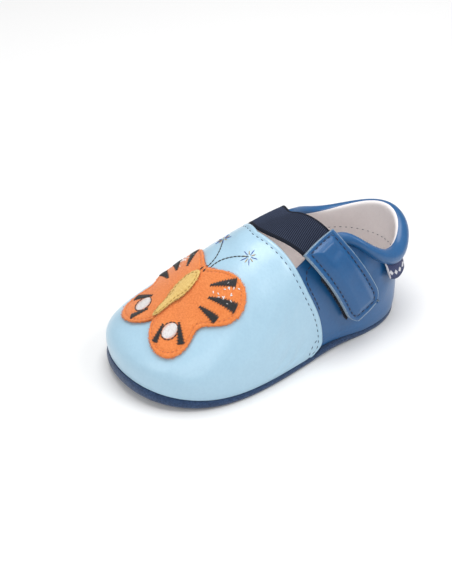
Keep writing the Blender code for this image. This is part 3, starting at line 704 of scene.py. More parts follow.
BLUE_STEPS, RIM_STEPS, BACK_STEPS = 30, 24, 6
roll_height = spline(COLLAR.along, COLLAR.height * MM)
roll_bulge = spline(COLLAR.along, COLLAR.bulge * MM)


def corner_cut(ring):
    """A closed ring with each corner cut off at a quarter of its sides."""
    after = np.roll(ring, -1, axis=0)
    return np.stack([0.75 * ring + 0.25 * after, 0.25 * ring + 0.75 * after], axis=1).reshape(-1, 3)


half = (1 - round_ended(161)[80:]) * 2
stations = [(share * COLLAR_FRONT_LATERAL, 1.0) for share in half]
stations += [(share * COLLAR_FRONT_MEDIAL, -1.0) for share in half[-2::-1]]
rings = []
for along, side in stations:
    along = np.array(along)
    top_line = top_height[side](along)
    top = girth_at_height(along, side, top_line)
    lower = girth_at_height(along, side, top_line - roll_height(along))
    skin, bulge = quarter_offset(along), roll_bulge(along)
    up = unit(last(along, side * (1 - top), skin) - last(along, side * (1 - top + RIM_STEP), skin))
    ring = []
    for row in ROLL_SECTION:
        girth = lower + (top - lower) * row.climb
        spot = last(along, side * (1 - girth), skin + row.bulge * bulge + row.out * MM)
        ring.append(spot + up * row.above * MM)
    ring = corner_cut(corner_cut(np.array(ring)))
    ring = np.concatenate([ring, ring[:1]])
    crest = CREST_ROW + CREST_SHIFT * smooth_step(along / COLLAR_FRONT_LATERAL)
    stops = (0, CUTS_PER_ROW * crest, CUTS_PER_ROW * LINING_ROW, len(ring) - 1)
    runs = zip(stops, stops[1:], (BLUE_STEPS, RIM_STEPS, BACK_STEPS))
    at = np.concatenate([*(np.linspace(a, b, count, endpoint=False) for a, b, count in runs), [stops[-1]]])
    rings.append(between(at, np.arange(len(ring)), ring))
bm = sheet(rings)
bm.faces.index_update()
for face in bm.faces:
    column = face.index % (len(rings[0]) - 1)
    face.material_index = int(BLUE_STEPS <= column < BLUE_STEPS + RIM_STEPS)
bmesh.ops.remove_doubles(bm, verts=bm.verts, dist=WELD / 2)
bmesh.ops.holes_fill(bm, edges=[e for e in bm.edges if e.is_boundary], sides=0)
bmesh.ops.recalc_face_normals(bm, faces=bm.faces)
collar = piece("collar_padded", bm, [blue_leather, lining_leather])
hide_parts("collar_roll")

# Seam threads of quarter and vamp
# Navy polyester thread in a lockstitch, pulled a little into the leather. One row follows the vamp's folded
# edge, with a short second row that turns back at each lower corner, one row follows the quarter's front
# corner, and a fine row shows on the lining at the heel.
Seam = namedtuple("Seam", "pitch dash radius")
SHOE_SEAM = Seam(2.7 * MM, 1.4 * MM, 0.17 * MM)
SECOND_ROW = table("girth along", (0.03, 0.47), (0.122, 0.464), (0.16, 0.455), (0.176, 0.434))
QUARTER_SEAM = Seam(2.4 * MM, 1.9 * MM, 0.24 * MM)
QUARTER_INSET, CORNER_INSET, CORNER_GIRTH = 1.9 * MM, 3.4 * MM, (0.3, 0.5)
CORNER_STEP, CORNER_END = 0.012, 0.36
LINING_SEAM = Seam(2.4 * MM, 1.0 * MM, 0.13 * MM)
LINING_SEAM_HEIGHT, LINING_SEAM_RISE, LINING_SEAM_END = 24.0 * MM, 5 * MM, 0.2
STITCH_PROUD = 0.25


def laid(along, around, skin):
    """Points on a skin of the last, and its normals there."""
    offset = skin(along, around)
    points = last(along, around, offset)
    return points, (last(along, around, offset + MM) - points) / MM


def sewn(points, normals, seam):
    """Even stitches along a line, each as its two ends and the direction out of the leather."""
    far = distances(points)
    count = max(1, round(far[-1] / seam.pitch))
    middle = (np.arange(count) + 0.5) * far[-1] / count
    begin, end = (between(middle + way * seam.dash / 2, far, points) for way in (-1, 1))
    return list(zip(begin, end, between(middle, far, normals)))


def thread(name, stitches, seam, look):
    """Thread as one mesh: a long oval for each stitch, with its ends sunk."""
    made = bmesh.new()
    radius = seam.radius
    for begin, end, out in stitches:
        run, middle, out = Vector(end - begin), Vector((begin + end) / 2), Vector(out)
        ahead = run.normalized()
        out = (out - ahead * out.dot(ahead)).normalized()
        aside = out.cross(ahead)
        turn = Matrix((aside * radius, out * radius, ahead * run.length / 2)).transposed().to_4x4()
        place = Matrix.Translation(middle + out * radius * STITCH_PROUD) @ turn
        bmesh.ops.create_uvsphere(made, u_segments=8, v_segments=7, radius=1.0, matrix=place)
    bmesh.ops.recalc_face_normals(made, faces=made.faces)
    piece(name, made, [look])


def yarn(name, colour, deep):
    """Spun thread with a slight satin gloss."""
    look, place = new_look(name, Sheen_Weight=0.25, Specular_IOR_Level=0.4)
    twist = noise(place, 2600.0, 2.0)
    dress(look, ramped(twist, 0.35, 0.65).mixed(deep, colour), 0.45 + twist * 0.2, twist, 0.08 * MM)
    return look


navy_thread = yarn("navy_thread", (0.02, 0.042, 0.11), (0.007, 0.014, 0.042))
rows = np.concatenate([np.linspace(0.02, 1, 160), np.linspace(1, 0.02, 160)[1:]])
side = np.where(np.arange(len(rows)) < 160, 1.0, -1.0)
seam_along = vamp_edge(rows) + STITCH_INSET * MM / LENGTH
vamp_stitches = sewn(*laid(seam_along, side * (1 - rows), vamp_skin), SHOE_SEAM)
quarter_stitches, lining_stitches = [], []
for side in (1.0, -1.0):
    rows = np.linspace(*SECOND_ROW.girth[[0, -1]], 60)
    along = np.interp(rows, SECOND_ROW.girth, SECOND_ROW.along)
    vamp_stitches += sewn(*laid(along, side * (1 - rows), vamp_skin), SHOE_SEAM)

    rows = np.linspace(*CORNER_GIRTH, 50)
    along = vamp_edge(rows) - QUARTER_INSET / LENGTH
    top_along = np.linspace(along[-1] - CORNER_STEP, CORNER_END, 40)
    top = girth_at_height(top_along, side, top_height[side](top_along) - CORNER_INSET)
    along, rows = np.concatenate([along, top_along]), np.concatenate([rows, top])
    quarter_stitches += sewn(*laid(along, side * (1 - rows), quarter_skin), QUARTER_SEAM)

    along = np.linspace(LINING_SEAM_END, 0.0, 60)
    rows = girth_at_height(along, side, LINING_SEAM_HEIGHT + LINING_SEAM_RISE * along)
    points, normals = laid(along, side * (1 - rows), lining_skin)
    lining_stitches += sewn(points, -normals, LINING_SEAM)
thread("vamp_thread", vamp_stitches, SHOE_SEAM, navy_thread)
thread("quarter_thread", quarter_stitches, QUARTER_SEAM, navy_thread)
thread("lining_thread", lining_stitches, LINING_SEAM, navy_thread)

# Elastic strap
# Navy woven elastic with fine ribs across it and a plain selvedge along both edges. It is sewn on the inner
# quarter with a box of stitches, runs over the instep and ends under the tab.
STRAP = table(
    "around along rise",
    (-0.8, 0.288, 0.6), (-0.55, 0.349, 0.6), (-0.4, 0.385, 0.4), (-0.26, 0.414, -1), (-0.12, 0.436, -1.9),
    (0, 0.444, -1.5), (0.12, 0.43, 0.1), (0.26, 0.395, 0.9), (0.4, 0.358, 0.1), (0.55, 0.314, 0.3),
    (0.8, 0.246, 0.4),
)
STRIP_EASE = ((-0.08, 1 / 16), (-0.04, 4 / 16), (0.0, 6 / 16), (0.04, 4 / 16), (0.08, 1 / 16))
ELASTIC_WIDTH, ELASTIC_THICK, ELASTIC_ENDS = 16.2 * MM, 1.3 * MM, (-0.74, 0.4)
ELASTIC_WALL, SELVEDGE, SELVEDGE_BEAD = 0.9 * MM, 1.1 * MM, 0.12 * MM
RIB_PITCH, RIB_DEPTH, RIB_FADE, WARP_PITCH = 0.74 * MM, 0.18 * MM, 0.4 * MM, 0.42 * MM
RIDGE_SINK, RIDGE_SINK_CENTRE, RIDGE_SINK_REACH = 0.7 * MM, -0.04, 0.32
BOX_FOOT, BOX_HEAD, BOX_SIDE = 0.03, 0.16, 0.8
strap_along = spline(STRAP.around, STRAP.along)
strap_rise = spline(STRAP.around, STRAP.rise * MM)


def strip_points(around, sideways, offset):
    """Points beside the strap's centre line, sideways from it and at an offset off the last."""
    along = strap_along(around)
    step = 1e-3
    here = last(along, around)
    by_along = (last(along + step, around) - here) / step
    by_around = (last(along, around + step) - here) / step
    run = by_along * ((strap_along(around + step) - along) / step)[..., None] + by_around
    run = unit(run)
    across = unit(by_along - run * np.sum(by_along * run, axis=-1, keepdims=True))
    sides = np.stack([by_along, by_around], axis=-2)
    shift = np.linalg.solve(sides @ np.swapaxes(sides, -1, -2), sides @ across[..., None])[..., 0]
    return last(along + shift[..., 0] * sideways, around + shift[..., 1] * sideways, offset)


def band(ends, half_width, outer_face, lengthwise, crosswise, skew=0.0):
    """Points of a strip along the strap's centre line, with its half width by share of its length.

    outer_face gives its distance off the last by (around, share, cross), and skew drops the back corner of
    its first end. Each point is a mean of places round it, as elastic and leather don't kink.
    """
    share, cross = np.linspace(0, 1, lengthwise)[:, None], np.linspace(-1, 1, crosswise)[None, :]
    around = ends[0] + (ends[1] - ends[0]) * share + skew * (1 - share) * (1 - cross) / 2
    points = 0.0
    for shift, weight in STRIP_EASE:
        offset = outer_face(around + shift, share, cross)
        points = points + weight * strip_points(around + shift, cross * half_width(share), offset)
    return points


def on_grid(points, share, cross):
    """Points of a strip's grid at shares of its length and places across it."""
    rows, columns = points.shape[0] - 1, points.shape[1] - 1
    row, column = share * rows, (cross + 1) / 2 * columns
    r, c = np.clip(row.astype(int), 0, rows - 1), np.clip(column.astype(int), 0, columns - 1)
    down, over = (row - r)[:, None], (column - c)[:, None]
    near = points[r, c] * (1 - over) + points[r, c + 1] * over
    far = points[r + 1, c] * (1 - over) + points[r + 1, c + 1] * over
    return near * (1 - down) + far * down


def strip_seam(strip, size, share, cross, seam):
    """Stitches on a strip, along a line given by shares of its length and places across it."""
    ends, half_width, face, *skew = strip
    points = on_grid(band(ends, half_width, face, *size, *skew), share, cross)
    above = band(ends, half_width, lambda *place: face(*place) + MM, *size, *skew)
    return sewn(points, (on_grid(above, share, cross) - points) / MM, seam)


def run_length(rows):
    """Length of a strip's middle line."""
    return distances(rows[:, rows.shape[1] // 2])[-1]


def own_uv(place):
    """Shares across and down a piece, from its own UV map."""
    weave = place.node("ShaderNodeUVMap", {"uv_map": "UVMap"}, {})
    return (place.node("ShaderNodeSeparateXYZ", {}, {"Vector": weave}, axis) for axis in "XY")


def wave(value, turns, operation="SINE"):
    """A wave from 0 to 1, with a number of turns while the value goes from 0 to 1."""
    return (value * (turns * 2 * math.pi)).maths(operation) * 0.5 + 0.5


def elastic_width(share):
    return ELASTIC_WIDTH / 2


def elastic_base(around, share, cross):
    crown = smooth_step(1 - np.abs(around - RIDGE_SINK_CENTRE) / RIDGE_SINK_REACH) * (0.8 + 0.2 * cross)
    return strap_rise(around) + ELASTIC_THICK - RIDGE_SINK * crown


rib_count = round(run_length(band(ELASTIC_ENDS, elastic_width, elastic_base, 60, 3)) / RIB_PITCH)


def elastic_face(around, share, cross):
    inset = (1 - np.abs(cross)) * ELASTIC_WIDTH / 2
    ribbed = smooth_step((inset - SELVEDGE) / RIB_FADE)
    ribs = (np.cos(share * rib_count * 2 * np.pi) - 1) / 2 * RIB_DEPTH
    bead = SELVEDGE_BEAD * hump(inset - 0.6 * SELVEDGE, 0.35 * SELVEDGE)
    return elastic_base(around, share, cross) + ribs * ribbed + bead


navy_elastic, place = new_look("navy_elastic", Specular_IOR_Level=0.16)
across_strap, down_strap = own_uv(place)
# The colour follows the modelled ribs: light on their crests and near black in the grooves between them,
# which is painted groove shade.
painted_rib_shading = wave(down_strap, rib_count, "COSINE")
warp = wave(across_strap, ELASTIC_WIDTH / WARP_PITCH)
edge_share = (across_strap - 0.5).maths("ABSOLUTE") * 2.0
plain = ramped(edge_share, 1 - 2.3 * SELVEDGE / ELASTIC_WIDTH, 1 - 1.7 * SELVEDGE / ELASTIC_WIDTH)
fluff = noise(place, 1800.0, 2.0)
tone = painted_rib_shading**1.6 * (1 - plain) * 0.85 + warp * 0.1 + fluff * 0.15
colour = tone.mixed((0.001, 0.002, 0.006), (0.042, 0.056, 0.1))
dress(navy_elastic, colour, 0.62 + fluff * 0.25, warp * 0.4 + fluff * 0.6, 0.06 * MM)
strip, size = (ELASTIC_ENDS, elastic_width, elastic_face), (rib_count * 4 + 1, 41)
bm = face_out(sheet(band(*strip, *size), True))
elastic = piece("elastic_ribbed", bm, [navy_elastic])
add_wall(elastic, ELASTIC_WALL, round_edge=0.12 * MM)
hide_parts("elastic_strap")

corners = np.array([(BOX_FOOT, -1), (BOX_FOOT, 1), (BOX_HEAD, 1), (BOX_HEAD, -1), (BOX_FOOT, -1)])
box_share, box_cross = between(np.linspace(0, 4, 121), np.arange(5), corners * (1, BOX_SIDE)).T
box_stitches = strip_seam(strip, size, box_share, box_cross, SHOE_SEAM)
thread("elastic_thread", box_stitches, SHOE_SEAM, navy_thread)

# Tab
# Two layers of the blue leather over thin foam, cut square at the top and round at the lower end, with raw
# edges. Navy stitches run all round, and the tab closes the strap on the outer side.
TAB_WIDTH, TAB_THICK, TAB_ENDS, TAB_SKEW = 16.8 * MM, 1.6 * MM, (0.289, 0.785), 0.053
TAB_CORNER, TAB_TAPER, TAB_TURN = 0.16, 0.42, 2.4
TAB_RISE_END, TAB_SETTLES = 1.6 * MM, (0.42, 0.62)
TAB_PUFF, TAB_PUFF_RUN, TAB_GROOVE, TAB_GROOVE_REACH = 1.2 * MM, 3.6 * MM, 0.5 * MM, 0.6 * MM
TAB_SEAM, TAB_SEAM_INSET = Seam(2.5 * MM, 1.75 * MM, 0.27 * MM), 2.0 * MM
TAB_DENTS = table(
    "share cross length width depth",
    (0.22, -0.25, 0.05, 0.55, -0.22), (0.33, 0.2, 0.06, 0.45, 0.16), (0.62, -0.15, 0.1, 0.4, -0.14),
)


def tab_width(share):
    past = np.clip((share - 1 + TAB_CORNER) / TAB_CORNER, 0, 1)
    return TAB_WIDTH / 2 * (1 - TAB_TAPER * past**TAB_TURN)


def tab_base(around, share, cross):
    over_elastic = strap_rise(around) + ELASTIC_THICK + GAP
    settled = smooth_step((around - TAB_SETTLES[0]) / (TAB_SETTLES[1] - TAB_SETTLES[0]))
    return over_elastic + (TAB_RISE_END - over_elastic) * settled + TAB_THICK


tab_length = run_length(band(TAB_ENDS, tab_width, tab_base, 60, 3))


def tab_face(around, share, cross):
    beside = (1 - np.abs(cross)) * tab_width(share)
    inset = np.minimum(np.minimum(beside, share * tab_length), (1 - share) * tab_length)
    puff = TAB_PUFF * smooth_step((inset - TAB_SEAM_INSET) / TAB_PUFF_RUN)
    groove = TAB_GROOVE * hump(inset - TAB_SEAM_INSET, TAB_GROOVE_REACH)
    dents = 0.0
    for dent in TAB_DENTS:
        near = ((share - dent.share) / dent.length) ** 2 + ((cross - dent.cross) / dent.width) ** 2
        dents = dents + dent.depth * MM * np.exp(-near)
    return tab_base(around, share, cross) + puff - groove + dents


tab_leather = leather("tab_leather", (0.007, 0.099, 0.275), (0.004, 0.079, 0.232), 0.4, 1.0, 0.36, 4.0)
raw_edge = suede("raw_blue_edge", (0.07, 0.15, 0.26), (0.33, 0.45, 0.56), 1.2)
strip, size = (TAB_ENDS, tab_width, tab_face, TAB_SKEW), (110, 61)
bm = sheet(band(*strip[:3], *size, TAB_SKEW))
bm.faces.index_update()
for face in bm.faces:
    row, column = divmod(face.index, size[1] - 1)
    face.material_index = int(row in (0, size[0] - 2) or column in (0, size[1] - 2))
tab = piece("tab_leather", face_out(bm), [tab_leather, raw_edge])
add_wall(tab, TAB_THICK, 1, 0.0)
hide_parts("strap_tab")

inset_share = TAB_SEAM_INSET / tab_length
run, over = np.linspace(inset_share, 1 - inset_share, 60), np.linspace(1, -1, 20)
side = 1 - TAB_SEAM_INSET / tab_width(run)
loop_share = np.concatenate([run, run[-1] + 0 * over, run[::-1], run[0] + 0 * over])
loop_cross = np.concatenate([side, side[-1] * over, -side[::-1], -side[0] * over])
tab_stitches = strip_seam(strip, size, loop_share, loop_cross, TAB_SEAM)
thread("tab_thread", tab_stitches, TAB_SEAM, navy_thread)

# Hook-and-loop pad
# Dark loop tape on the quarter and hook tape under the tab, pressed together; its fuzz shows along the
# tab's front edge.
PAD_WIDTH, PAD_ENDS, PAD_THICK, PAD_TOP = 16.0 * MM, (0.46, 0.745), 1.5 * MM, TAB_RISE_END - 0.03 * MM
FUZZ_COUNT, FUZZ_LENGTH, FUZZ_WIDTH, FUZZ_DEPTH = 2600, 1.5 * MM, 0.07 * MM, 0.6 * MM
FRONT_SHARE = 0.7
STRAY, SHORTEST, BEND_PLACE, BEND_STRAY, BEND_TAPER = 0.45, 0.4, 0.55, 0.12, 0.6
dark_tape = suede("dark_loop_tape", (0.006, 0.008, 0.018), (0.03, 0.036, 0.06), 1.6)


def pad_rows(top, lengthwise, crosswise):
    return band(PAD_ENDS, lambda share: PAD_WIDTH / 2, lambda *place: top, lengthwise, crosswise)


def fuzz(name, roots, leans, length, width, look, seed):
    """Short bent fibres as one mesh, each rooted at a point and leaning its own way."""
    draw = np.random.default_rng(seed)
    made = bmesh.new()
    for root, lean in zip(roots, leans):
        tip = unit(lean + draw.normal(0, STRAY, 3)) * length * draw.uniform(SHORTEST, 1.0)
        aside = unit(np.cross(tip, draw.normal(0, 1, 3))) * width
        bend = root + tip * BEND_PLACE + draw.normal(0, BEND_STRAY, 3) * length
        corners = (root - aside, root + aside, bend + aside * BEND_TAPER, root + tip)
        made.faces.new([made.verts.new(corner) for corner in corners])
    piece(name, made, [look])


pad = piece("loop_tape", face_out(sheet(pad_rows(PAD_TOP, 30, 20))), [dark_tape])
add_wall(pad, PAD_THICK)
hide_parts("fastener_pad")
draw = np.random.default_rng(11)
grid = pad_rows(PAD_TOP - FUZZ_DEPTH, 60, 9)
spot_share = draw.uniform(0, 1, FUZZ_COUNT)
spot_side = np.where(draw.uniform(0, 1, FUZZ_COUNT) < FRONT_SHARE, 1.0, -1.0)
roots = on_grid(grid, spot_share, spot_side)
leans = unit(roots - on_grid(grid, spot_share, spot_side * 0.6))
fuzz("loop_fuzz", roots, leans, FUZZ_LENGTH, FUZZ_WIDTH, dark_tape, 12)

# Heel label
# A short loop of woven navy tape, folded once and caught in the seam under the collar. It carries a row of
# small pale diamonds and no words.
LABEL_ALONG, LABEL_TUCK, LABEL_DROP = (0.06, 0.15), 0.5 * MM, 6.6 * MM
LABEL_LAYER, LABEL_FOLD, LABEL_STAND_OFF = 0.42 * MM, 1.1 * MM, 1.4 * MM
LABEL_INSIDE, LABEL_PINCH = Vector((0.01, 0.05, 0.02)), 0.35
DIAMONDS, DIAMOND_PLACE, PICKS, WARP_ENDS = 4.0, 0.19, 40, 35
along = np.linspace(*LABEL_ALONG, 31)
collar_seam = top_height[1.0](along) - roll_height(along)
rows = []
for turn in np.linspace(0, 1, 41):
    down = 1 - abs(1 - 2 * turn)
    pinch = LABEL_PINCH + (1 - LABEL_PINCH) * np.sin(np.pi * turn) ** 0.5
    layer = LABEL_FOLD / 2 * (1 + np.cos(np.pi * turn)) * pinch
    depth = np.sin(down * np.pi / 2) ** 0.9
    girth = girth_at_height(along, 1.0, collar_seam + LABEL_TUCK - LABEL_DROP * depth)
    rows.append(last(along, 1 - girth, 2 * GAP + LABEL_LAYER + LABEL_STAND_OFF * depth + layer))
woven_tape, place = new_look("woven_tape", Sheen_Weight=0.2, Specular_IOR_Level=0.3)
across_tape, down_tape = own_uv(place)
pick, end = wave(down_tape, PICKS), wave(across_tape, WARP_ENDS)
border = ramped((across_tape - 0.5).maths("ABSOLUTE"), 0.455, 0.475)
cloth = ramped(pick * 0.5 + end * 0.5, 0.1, 0.9).mixed((0.006, 0.014, 0.075), (0.022, 0.042, 0.16))
beside = ((across_tape * DIAMONDS).maths("FRACT") - 0.5).maths("ABSOLUTE")
below = (down_tape - DIAMOND_PLACE).maths("ABSOLUTE")
diamond = 1 - ramped(beside * 2.0 + below * 12.0, 0.74, 0.86)
figured = diamond.mixed(cloth, (0.66, 0.66, 0.7))
dress(woven_tape, border.mixed(figured, (0.66, 0.64, 0.68)), 0.72 + pick * 0.1, pick + end, 0.05 * MM)
label = piece("label_tape", face_out(sheet(rows, True), LABEL_INSIDE), [woven_tape])
add_wall(label, LABEL_LAYER, round_edge=0.06 * MM)
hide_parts("heel_label")

# Suede butterfly
# Two pairs of wings in one cut of orange suede with a raw edge, sewn on the toe, and a body of yellow suede.
# Both lie flat on the vamp and are worked with coloured thread. Its flat sizes are in millimetres.
WING_LOBES = table(
    "angle radius",
    (-90, 11), (-68, 18), (-45, 22.5), (-22, 20.2), (-4, 17),
    (14, 22.2), (32, 26.5), (50, 24.5), (70, 16.4), (90, 13),
)
WING_ALONG = 0.794
BODY_LENGTH, BODY_WIDTH, BODY_TAPER = 21.0, 7.8, 0.28
SUEDE_THICK, SUEDE_LIFT, RAGGED = 1.1, 0.3, 0.1
WING_TOP, BODY_TOP = SUEDE_LIFT + SUEDE_THICK, 2 * SUEDE_LIFT + 2 * SUEDE_THICK
WING_SEW_INSET, BODY_SEW_INSET, SEW_SINK, SEW_REACH = 1.7, 1.0, 0.22, 0.5
RIM_SINK, RIM_REACH, WING_ROOT, BODY_ROOT = 0.45, 0.8, 0.2, 0.3
wing_radius = spline(WING_LOBES.angle, WING_LOBES.radius)


def over_vamp(right, up, above):
    """Points above the vamp and its normals there, from millimetres right of and up the butterfly."""
    x = np.asarray(right, float).ravel() * MM
    y = np.asarray(up, float).ravel() * MM + LENGTH / 2 - WING_ALONG * LENGTH
    high, low, span = 100.0 * MM, 15.0 * MM, 1.5 * MM

    def fall(p, q):
        found = vamp_tree.ray_cast(Vector((p, q, high)), Vector((0.0, 0.0, -1.0)))[0]
        return (found or vamp_tree.find_nearest(Vector((p, q, low)))[0]).z

    def height(a, b):
        return np.array([fall(p, q) for p, q in zip(a, b)])

    slope_x = (height(x + span, y) - height(x - span, y)) / (2 * span)
    slope_y = (height(x, y + span) - height(x, y - span)) / (2 * span)
    out = unit(np.stack([-slope_x, -slope_y, np.ones_like(x)], axis=-1))
    offset = np.broadcast_to(np.asarray(above, float), np.shape(right)).ravel() * MM
    points = np.stack([x, y, height(x, y)], axis=-1) + out * offset[:, None]
    return points.reshape(*np.shape(right), 3), out.reshape(*np.shape(right), 3)


def turned(radius, turn):
    return radius * np.cos(np.radians(turn)), radius * np.sin(np.radians(turn))


def wing_outline(turn):
    """Radius of the wings, by angle in degrees from the right, both sides alike."""
    fold = (np.asarray(turn, float) + 90) % 360 - 90
    return wing_radius(np.where(fold > 90, 180 - fold, fold))


def body_outline(turn):
    """Radius of the tapered body."""
    spin = np.radians(turn)
    wide, long = BODY_WIDTH / 2 * (1 - BODY_TAPER * (1 - np.sin(spin))), BODY_LENGTH / 2
    return wide * long / np.sqrt((long * np.cos(spin)) ** 2 + (wide * np.sin(spin)) ** 2)


def suede_form(outline, top, sew_inset, rings, turns):
    """A suede cut-out laid on the vamp: rings from its middle to a ragged raw edge, with a sewn groove."""
    turn = np.linspace(-90, 270, turns)
    ragged = np.random.default_rng(5).normal(0, RAGGED, turns)
    ragged[-1] = ragged[0]
    radius = outline(turn) + ragged
    share = np.sin(np.linspace(0, np.pi / 2, rings))[:, None]
    inset = (1 - share) * radius
    above = top - RIM_SINK * np.clip(1 - inset / RIM_REACH, 0, 1) ** 2
    above = above - SEW_SINK * hump(inset - sew_inset, SEW_REACH)
    return face_out(sheet(over_vamp(*turned(share * radius, turn), above)[0]))


orange_suede = suede("orange_suede", (0.62, 0.142, 0.028), (0.89, 0.3, 0.09), 1.2)
bm = suede_form(wing_outline, WING_TOP, WING_SEW_INSET, 46, 241)
wings = piece("wings_suede", bm, [orange_suede])
add_wall(wings, (SUEDE_THICK + WING_ROOT) * MM, round_edge=0.0)
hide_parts("applique_wings")
yellow_suede = suede("yellow_suede", (0.6, 0.37, 0.09), (0.83, 0.61, 0.23), 1.2)
bm = suede_form(body_outline, BODY_TOP, BODY_SEW_INSET, 26, 121)
body = piece("body_suede", bm, [yellow_suede])
add_wall(body, (SUEDE_THICK + BODY_ROOT) * MM, round_edge=0.0)
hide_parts("applique_body")

# Butterfly threads
# Running stitch round each suede edge, black satin-stitch wedges and antennae, white spots and seed stitches
# on the wings, and a small blue and yellow star at each antenna's tip.
EDGE_SEAM = Seam(1.75 * MM, 1.15 * MM, 0.17 * MM)
LINE_SEAM = Seam(1.55 * MM, 1.5 * MM, 0.23 * MM)
SATIN_PITCH, SATIN_SLANT, SATIN_START, SATIN_FLARE, SATIN_UNEVEN = 0.34, 0.2, 0.4, 0.8, (0.5, 0.1, 0.1)
OVER_SUEDE, OVER_LEATHER = 0.02, 0.05
WING_THREAD_TOP, BODY_THREAD_TOP = WING_TOP - 0.16, BODY_TOP - 0.12
WEDGES = table(
    "turn inner outer width",
    (14, 11.5, 19.8, 2.8), (31, 13, 24.2, 3.4), (50, 12.5, 22.4, 3),
    (-28, 11, 19, 2.6), (-60, 11, 18.2, 2.4),
)
SPOT_TURN, SPOT_REACH, SPOT_RADIUS, SPOT_RIM = -44, 13.6, 3.0, 3.25
SEED_TURN, SEED_REACH, SEED_SPREAD, SEED_COUNT, SEED_HALF = 40, 19.0, 2.0, 16, 0.5
ANTENNA_FOOT, ANTENNA_TIP, ANTENNA_BOW = (1.0, 11.0), (9.0, 26.0), 3.2
STAR_RAYS, STAR_HEART, STAR_REACHES = 10, 0.7, (2.6, 3.4)


def on_wings(right, up):
    """Height above the vamp at which thread lies, on the wings or off them."""
    reach = wing_outline(np.degrees(np.arctan2(up, right))) - np.hypot(right, up)
    return np.where(reach > 0, WING_TOP + OVER_SUEDE, OVER_LEATHER)


def chords(pairs):
    """Stitches between pairs of flat points, laid on suede or leather."""
    right, up = np.moveaxis(np.array(pairs), -1, 0)
    points, out = over_vamp(right, up, on_wings(right, up))
    return [(*ends, (normals[0] + normals[1]) / 2) for ends, normals in zip(points, out)]


def satin(tip, foot, width):
    """Satin stitches across a wedge, from its pointed tip to its wide foot, a little uneven at both edges."""
    run = foot - tip
    length = np.linalg.norm(run)
    aside, slant = np.array([-run[1], run[0]]) / length, run / length * SATIN_SLANT
    pairs = []
    for i, t in enumerate(np.arange(SATIN_START, length, SATIN_PITCH) / length):
        half = aside * (width / 2 * t**SATIN_FLARE + SATIN_UNEVEN[i % 3]) + slant
        pairs.append((tip + run * t - half, tip + run * t + half))
    return chords(pairs)


def line(right, up):
    """Back stitches along a flat line."""
    return sewn(*over_vamp(right, up, on_wings(right, up)), LINE_SEAM)


orange_thread = yarn("orange_thread", (0.78, 0.27, 0.075), (0.48, 0.11, 0.02))
yellow_thread = yarn("yellow_thread", (0.56, 0.34, 0.06), (0.33, 0.19, 0.03))
black_thread = yarn("black_thread", (0.022, 0.021, 0.024), (0.007, 0.006, 0.007))
white_thread = yarn("white_thread", (0.86, 0.84, 0.83), (0.66, 0.62, 0.62))
blue_thread = yarn("bright_blue_thread", (0.045, 0.11, 0.48), (0.02, 0.05, 0.27))

turn = np.linspace(-90, 270, 400)
for name, outline, inset, above, look, slot in (
    ("wing_edge_thread", wing_outline, WING_SEW_INSET, WING_THREAD_TOP, orange_thread, "orange_suede"),
    ("body_edge_thread", body_outline, BODY_SEW_INSET, BODY_THREAD_TOP, yellow_thread, "yellow_suede"),
):
    edge_stitches = sewn(*over_vamp(*turned(outline(turn) - inset, turn), above), EDGE_SEAM)
    thread(name, edge_stitches, EDGE_SEAM, look)

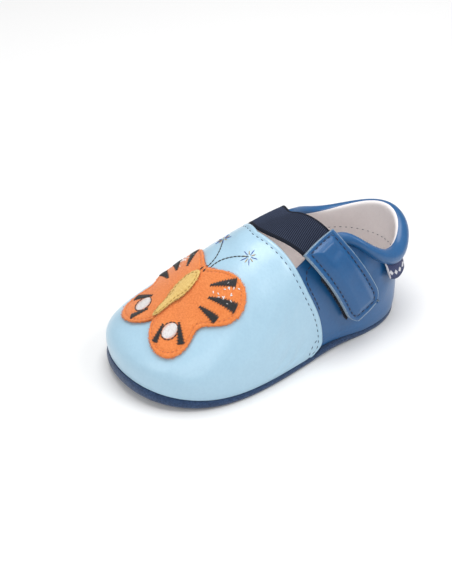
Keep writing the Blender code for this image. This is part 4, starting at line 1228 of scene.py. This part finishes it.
black_stitches, white_stitches, blue_stitches, star_stitches = [], [], [], []
draw = np.random.default_rng(21)
for mirror in ((1, 1), (-1, 1)):
    for wedge in WEDGES:
        tip, foot = (np.array(turned(r, wedge.turn)) * mirror for r in (wedge.inner, wedge.outer))
        black_stitches += satin(tip, foot, wedge.width)

    middle = np.array(turned(SPOT_REACH, SPOT_TURN)) * mirror
    for down in np.arange(-SPOT_RADIUS + 0.2, SPOT_RADIUS, SATIN_PITCH):
        half = math.sqrt(max(SPOT_RADIUS**2 - down**2, 0.05))
        white_stitches += chords([(middle + (-half, down), middle + (half, down + 0.15))])
    ring = np.linspace(0, 2 * np.pi, 60)
    black_stitches += line(middle[0] + SPOT_RIM * np.cos(ring), middle[1] + SPOT_RIM * np.sin(ring))

    middle = np.array(turned(SEED_REACH, SEED_TURN)) * mirror
    for _ in range(SEED_COUNT):
        spot = middle + draw.normal(0, SEED_SPREAD, 2)
        lean = draw.uniform(0, np.pi)
        step = np.array([np.cos(lean), np.sin(lean)]) * SEED_HALF
        white_stitches += chords([(spot - step, spot + step)])

    share = np.linspace(0, 1, 40)
    foot, tip = np.array(ANTENNA_FOOT) * mirror, np.array(ANTENNA_TIP) * mirror
    route = foot + (tip - foot) * share[:, None]
    route[:, 0] -= mirror[0] * ANTENNA_BOW * np.sin(np.pi * share)
    black_stitches += line(*route.T)
    for i, spin in enumerate(np.linspace(0, 2 * np.pi, STAR_RAYS, endpoint=False)):
        ray = np.array([np.cos(spin), np.sin(spin)])
        stitches = (star_stitches, blue_stitches)[i % 2]
        stitches += chords([(tip + ray * STAR_HEART, tip + ray * STAR_REACHES[i % 2])])
thread("black_thread_work", black_stitches, LINE_SEAM, black_thread)
thread("white_thread_work", white_stitches, LINE_SEAM, white_thread)
thread("blue_star_thread", blue_stitches, EDGE_SEAM, blue_thread)
thread("yellow_star_thread", star_stitches, EDGE_SEAM, yellow_thread)

# Raw suede edges
# Cut suede sheds short fibres along its edge. They are rooted in the cut and lean out over the leather.
RAW_LENGTH, RAW_WIDTH, RAW_LEVELS = 0.75 * MM, 0.045 * MM, (0.25, 0.85)
ROOT_INSET, LEAN_REACH, LEAN_UP = 0.05, 0.8, 0.25
for name, outline, top, look, slot, count, seed in (
    ("wing_fuzz", wing_outline, WING_TOP, orange_suede, "orange_suede", 1400, 31),
    ("body_fuzz", body_outline, BODY_TOP, yellow_suede, "yellow_suede", 466, 32),
):
    draw = np.random.default_rng(seed)
    turn = draw.uniform(-90, 270, count)
    height = draw.uniform(*RAW_LEVELS, count) * SUEDE_THICK + top - SUEDE_THICK
    roots, out = over_vamp(*turned(outline(turn) - ROOT_INSET, turn), height)
    far, _ = over_vamp(*turned(outline(turn) + LEAN_REACH, turn), height)
    leans = unit(far - roots) + LEAN_UP * out
    fuzz(name, roots, leans, RAW_LENGTH, RAW_WIDTH, look, seed + 10)

# Sizes
# The box of the solids and the box of what shows, for comparison.
size = {"solids": [list(v) for v in solid_box], "visual": [list(v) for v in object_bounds()]}
